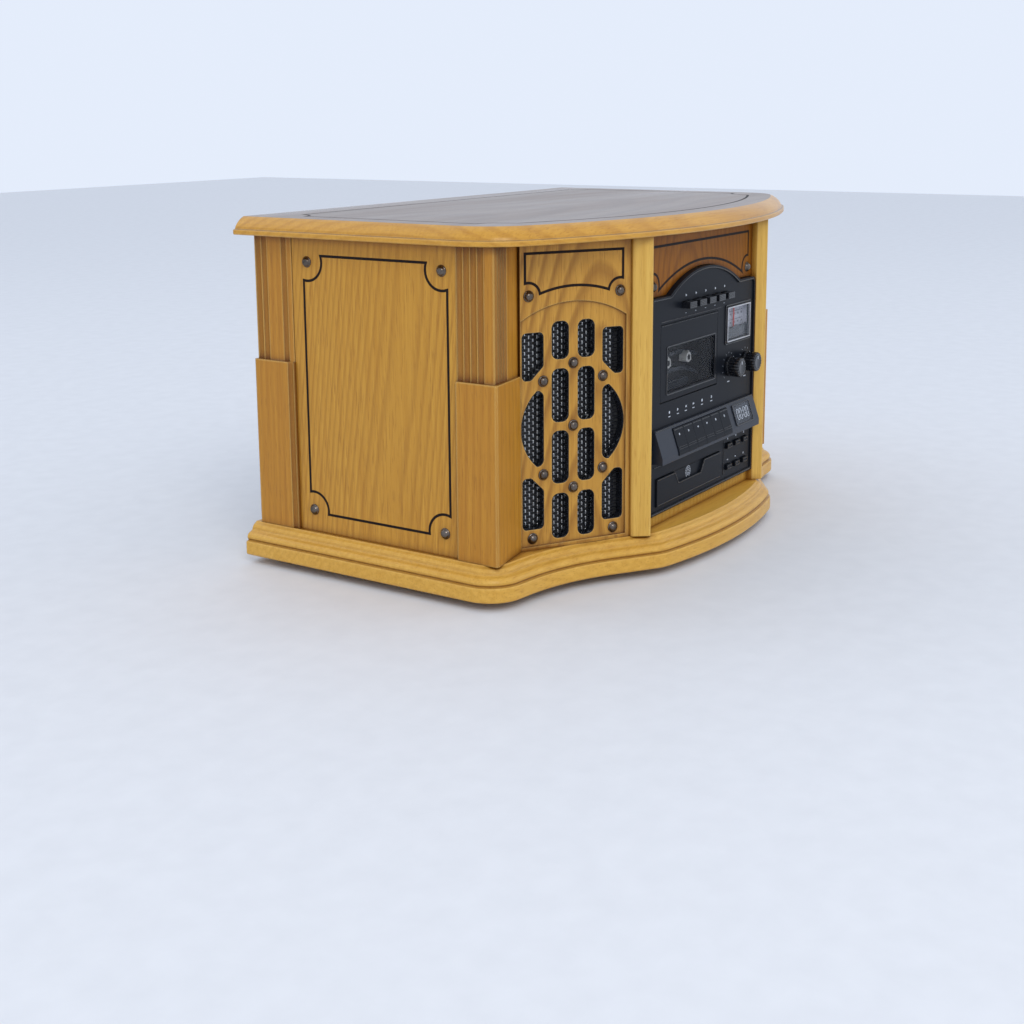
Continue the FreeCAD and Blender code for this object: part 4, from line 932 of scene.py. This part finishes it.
def numerals(name, plane, entries, size, body):
    """Dial numbers as a thin mesh; entries are (text, u, v)."""
    shape = bmesh.new()
    for text, u, v in entries:
        curve = bpy.data.curves.new(name, "FONT")
        curve.body = text
        curve.align_x = "CENTER"
        curve.align_y = "CENTER"
        curve.size = size
        curve.extrude = 0.05
        curve.resolution_u = 3
        holder = bpy.data.objects.new(name, curve)
        bpy.context.scene.collection.objects.link(holder)
        bpy.context.view_layer.update()
        graph = bpy.context.evaluated_depsgraph_get()
        flat = bpy.data.meshes.new_from_object(holder.evaluated_get(graph))
        start = len(shape.verts)
        shape.from_mesh(flat)
        shape.verts.ensure_lookup_table()
        for vert in shape.verts[start:]:
            vert.co = plane(u + vert.co.x, v + vert.co.y, vert.co.z)
        bpy.data.objects.remove(holder)
        bpy.data.curves.remove(curve)
        bpy.data.meshes.remove(flat)
    return finished(name, shape, body, "inlay", 0)


def dial_scale():
    """Scale plate behind the dial's lens, with its lines and numbers, a painted shadow over its lower
    part, and the bezel.
    """
    rear = FASCIA_FACE + 3
    plane = front_plane(rear + 3.4)
    shape = bmesh.new()
    prism(shape, plane, box_outline(48, 100.5, 205.5, 227), 0.0, 0.35)
    wall = [(48.3, 205.5), (48.3, 226.6), (99.7, 226.6), (99.7, 205.5)]
    sweep_bar(shape, plane, wall, 0.4, 0.3, 4.5, closed=False)
    finished("dial_scale", shape, "cabinet", "dial_white", 0)
    shape = bmesh.new()
    for height in (212.5, 221.0):
        sweep_bar(shape, plane, [(51, height), (98, height)], 0.35, 0.35, 0.45, closed=False)
        for step in range(24):
            x = 51.5 + 2 * step
            tall = 1.8 if step % 4 == 0 else 1.0
            sweep_bar(shape, plane, [(x, height), (x, height + tall)], 0.3, 0.35, 0.45, closed=False)
    finished("dial_lines", shape, "cabinet", "inlay", 0)
    rows = ((218.0, ("88", "92", "96", "100", "104", "108")),
            (209.6, ("53", "60", "80", "100", "140", "170")))
    entries = [(text, 54 + 8.3 * index, height) for height, texts in rows
               for index, text in enumerate(texts)]
    numerals("dial_numbers", front_plane(rear + 3.0), entries, 3.4, "cabinet")
    # Painted shadow: a gloss black sheet with a wavy top edge lies over the lower part of the scale.
    shape = bmesh.new()
    waves = [(48.3 + 2.57 * step, 206.6 + 1.3 * math.sin(step * 0.75)) for step in range(21)]
    prism(shape, plane, [(48.3, 194.7), (99.7, 194.7)] + waves[::-1], 4.1, 4.4)
    finished("dial_painted_shadow", shape, "cabinet", "gloss_black", 0)
    shape = bmesh.new()
    bezel = turned_left(box_outline(47.2, 101.3, 193.1, 228.2, 1.2))
    prism(shape, front_plane(FASCIA_FACE), bezel, -0.4, 1.9, moved_out(bezel, -1.2))
    finished("dial_bezel", shape, "cabinet", "steel", 30)


# ---------------------------------------------------------------- knobs, keys, drawer and cassette deck

def knobs():
    """Fluted knobs with a skirt, a domed cap and a pointer line."""
    profile = ((10.0, 1.0), (10.0, 3.0), (9.2, 3.4))
    for name, x in zip(("volume_knob", "tuning_knob"), KNOB_XS):
        plane = mapped(front_plane(FASCIA_FACE), (x, KNOB_Z))
        shape = bmesh.new()
        lathe(shape, plane, (0, 0), ((0, 0.6), (10.0, 0.6)) + profile, 48)
        fluted = []
        for step in range(20):
            angle = 18 * step
            for radius, turn in ((9.9, -5), (9.9, 5), (8.7, 9)):
                spoke = math.radians(angle + turn)
                fluted.append((radius * math.cos(spoke), radius * math.sin(spoke)))
        rings = []
        for share, height in ((1.0, 3.2), (1.0, 13.4), (0.93, 14.5)):
            rings.append([shape.verts.new(plane(u * share, v * share, height)) for u, v in fluted])
        for first, second in zip(rings, rings[1:]):
            bridge(shape, first, second)
        shape.faces.new(rings[0])
        shape.faces.new(rings[-1])
        cap = ((0, 14.2), (7.4, 14.2), (7.4, 14.8), (6.9, 15.0), (6.2, 14.7), (0, 14.6))
        lathe(shape, plane, (0, 0), cap, 48)
        lathe(shape, plane, (0, 0), ((0, -15.2), (3.0, -15.2), (3.0, 0.8), (0, 0.8)), 24)
        knob = finished(name + "_fluted", shape, name, "gloss_black", 35)
        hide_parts(name)
        shape = bmesh.new()
        prism(shape, plane, box_outline(-0.5, 0.5, 3.0, 6.0, 0.3), 14.4, 14.95)
        finished(name + "_line", shape, name, "legend", 0)


KEY_FIRST = -65.2
KEY_PITCH = 19.6


def keys_and_display():
    """Grip ridges and marks on the piano keys, and the frame and marks of the display."""
    plane = console_plane()
    for index, kind in enumerate(TAPE_MARKS):
        middle = KEY_FIRST + KEY_PITCH * index
        body = f"tape_key_{index + 1}"
        shape = bmesh.new()
        for height, wide in ((126.4, 0.9), (108.6, 0.5), (110.4, 0.5)):
            path = [(middle - 8.6, height), (middle + 8.6, height)]
            sweep_bar(shape, plane, path, wide, 0.6, 1.15, closed=False)
        finished(body + "_ridges", shape, body, "gloss_black", 0)
        shape = bmesh.new()
        icon(shape, mapped(plane, (middle, 121.5), 0, 1.2), kind, 0.6, 0.88)
        finished(body + "_mark", shape, body, "legend", 0)
    shape = bmesh.new()
    frame_line = turned_left(box_outline(55.2, 93.3, 108.2, 126.8, 0.8))
    prism(shape, plane, moved_out(frame_line, 1.1), -0.3, 1.1, frame_line)
    sweep_bar(shape, plane, [(-106.5, 130.2), (107, 130.2)], 0.9, -0.3, 0.35, closed=False)
    finished("console_ridges", shape, "cabinet", "gloss_black", 0)
    shape = bmesh.new()
    for left in (61.0, 67.5, 76.5, 83.0):
        for low, high in ((113.0, 117.2), (118.0, 122.2)):
            for u in (left, left + 4.0):
                prism(shape, plane, box_outline(u - 0.4, u + 0.4, low, high), 0.7, 0.9)
        for v in (112.6, 122.6):
            prism(shape, plane, box_outline(left + 0.6, left + 3.4, v - 0.35, v + 0.35), 0.7, 0.9)
    for v in (115.4, 119.8):
        prism(shape, plane, arc_points((74.0, v), 0.55, 0, 360, 10)[:-1], 0.7, 0.9)
    finished("display_marks", shape, "cabinet", "legend", 0)


def drawer_and_buttons():
    """Edges of the drawer's scoop, its dotted disc mark, and rims and grips on the buttons."""
    plane = front_plane(FASCIA_FACE)
    shape = bmesh.new()
    proud = 1.6
    for path in ([(-98.6, 82.8), (-63.2, 82.8), (-56.0, 71.6), (-7.0, 71.6), (0.2, 82.8), (35.8, 82.8)],
                 [(-98.6, 58.4), (35.8, 58.4)]):
        sweep_bar(shape, plane, path, 0.8, proud - 0.4, proud + 0.35, closed=False)
    finished("drawer_ridges", shape, "cd_tray", "gloss_black", 0)
    shape = bmesh.new()
    for ring, count in ((5.2, 18), (3.6, 12), (2.0, 7)):
        for u, v in arc_points((-31.5, 77.6), ring, 0, 360, count)[:-1]:
            if v > 72.6:
                prism(shape, plane, box_outline(u - 0.45, u + 0.45, v - 0.4, v + 0.4), -0.62, -0.45)
    finished("disc_mark", shape, "cd_tray", "legend", 0)
    places = [(x, z) for z in (86, 64) for x in CD_BUTTON_XS]
    for index, (x, z) in enumerate(places):
        shape = bmesh.new()
        cap = turned_left(box_outline(x - 4.9, x + 4.9, z - 1.9, z + 1.9, 1.2))
        prism(shape, plane, cap, 2.3, 2.75, moved_out(cap, -0.7))
        name = f"cd_button_{index + 1}"
        finished(name + "_rim", shape, name, "gloss_black", 0)
    for index, x in enumerate(BUTTON_XS):
        shape = bmesh.new()
        for height in (240.6, 242.0, 243.4):
            sweep_bar(shape, plane, [(x - 5.6, height), (x + 5.6, height)], 0.5, 8.4, 8.75, closed=False)
        name = f"function_button_{index + 1}"
        finished(name + "_grip", shape, name, "gloss_black", 0)


HUBS = (("supply_hub", -53.75), ("takeup_hub", -11.25))
HUB_Z = 186.0
HUB_FACE = -137.5
WELL_WALL = -129.0


def cassette_details():
    """Dark caps on the hubs, ribs on the wall of the well and the rim of the cassette window."""
    plane = front_plane(HUB_FACE)
    for name, x in HUBS:
        shape = bmesh.new()
        lathe(shape, plane, (x, HUB_Z), ((0, -0.3), (2.7, -0.3), (2.7, 0.25), (1.9, 0.6), (0, 0.7)), 24)
        finished(name + "_cap", shape, name, "gloss_black")
    well = front_plane(WELL_WALL)
    shape = bmesh.new()
    for height, rise in ((176.0, 12.0), (192.0, 9.0)):
        arch = arc_through((-84, height - rise), (-30, height), (24, height - rise), 24)
        sweep_bar(shape, well, arch, 4.0, -0.3, 2.2, closed=False)
    prism(shape, well, box_outline(-60, -5, 158, 166, 2.0), -0.3, 5.0)
    finished("well_ribs", shape, "cabinet", "well_rib", 30)
    shape = bmesh.new()
    face = front_plane(FASCIA_FACE)
    rim = turned_left(box_outline(-79.2, 22.2, 161.3, 205.2, 1.0))
    prism(shape, face, moved_out(rim, 1.4), -0.3, 0.45, rim)
    sweep_bar(shape, face, [(-91.5, 226.4), (26.5, 226.4)], 0.6, -0.3, 0.35, closed=False)
    finished("window_rim", shape, "cassette_door", "gloss_black", 0)


# ---------------------------------------------------------------- turntable and rear

SPINDLE = (-62.0, 18.0)
ARM_PIVOT = (138.0, 112.0)
ARM_ANGLE = math.radians(262)
ARM_HEIGHT = 290.0
MAT_TOP = 278.5
STUD_Z = 273.2
SOCKET_FACE = 185.4


def turntable():
    """Rings of the mat, the platter's strobe studs, and the pick-up arm's small fittings."""
    plane = level_plane(MAT_TOP)
    shape = bmesh.new()
    for radius in [96 - 3.5 * step for step in range(17)]:
        ridge = ((radius - 1.0, -0.4), (radius - 0.7, 0.3), (radius + 0.7, 0.3), (radius + 1.0, -0.4))
        lathe_ring(shape, plane, SPINDLE, ridge, 72)
    finished("mat_ridges", shape, "platter_body", "mat_rubber", 30)
    shape = bmesh.new()
    for step in range(90):
        angle = math.radians(4 * step)
        around = mapped(level_plane(STUD_Z), SPINDLE, angle)
        prism(shape, around, box_outline(104.6, 105.5, -1.2, 1.2), -1.6, 1.6)
    finished("strobe_studs", shape, "platter_body", "mat_rubber", 0)
    along = mapped(level_plane(ARM_HEIGHT), ARM_PIVOT, ARM_ANGLE)
    shape = bmesh.new()
    lift = [(212, 7.5), (218, 7.5), (214, 15.5), (208, 17.5), (207, 15.5), (210, 13.5)]
    prism(shape, along, lift, 0.4, 1.6)
    for reach in (209, 213, 217):
        prism(shape, along, box_outline(reach - 0.6, reach + 0.6, -5.5, 5.5, 0.5), 1.9, 2.25)
    for reach in (-30.5, -27.5, -24.5, -21.5, -18.5):
        def ring(u, v, h, place=reach):
            return along(place + h, u, v)

        lathe_ring(shape, ring, (0, 0), ((8.8, -0.9), (9.4, -0.5), (9.4, 0.5), (8.8, 0.9)), 40)
    finished("arm_fittings", shape, "arm", "arm_metal", 30)


def lathe_ring(shape, plane, centre, profile, steps):
    """Closed ring of revolution from a closed run of (radius, height) pairs."""
    rings = [[shape.verts.new(plane(u, v, height))
              for u, v in arc_points(centre, radius, 0, 360, steps)[:-1]] for radius, height in profile]
    for first, second in zip(rings, rings[1:] + rings[:1]):
        bridge(shape, first, second)


def rear_details():
    """Coloured rings of the rear sockets."""
    rings = {"socket_rings_red": ("pointer_red", "socket_red", 168),
             "socket_rings_white": ("dial_white", "legend", 192)}
    plane = back_plane(SOCKET_FACE)
    for name, (slot, finish, x) in rings.items():
        shape = bmesh.new()
        for z in (70, 90):
            lathe_ring(shape, plane, (x, z), ((2.4, -0.5), (2.4, 0.09), (4.5, 0.09), (4.5, -1.2)), 32)
        finished(name, shape, "cabinet", finish, 30)


def main():
    add_camera()
    add_surroundings()
    finish_wood()
    inlays()
    slot_liners()
    speaker_fronts()
    nails()
    legends()
    dial_scale()
    knobs()
    keys_and_display()
    drawer_and_buttons()
    cassette_details()
    turntable()
    rear_details()
    scene = bpy.context.scene
    scene.view_settings.view_transform = "Standard"


main()
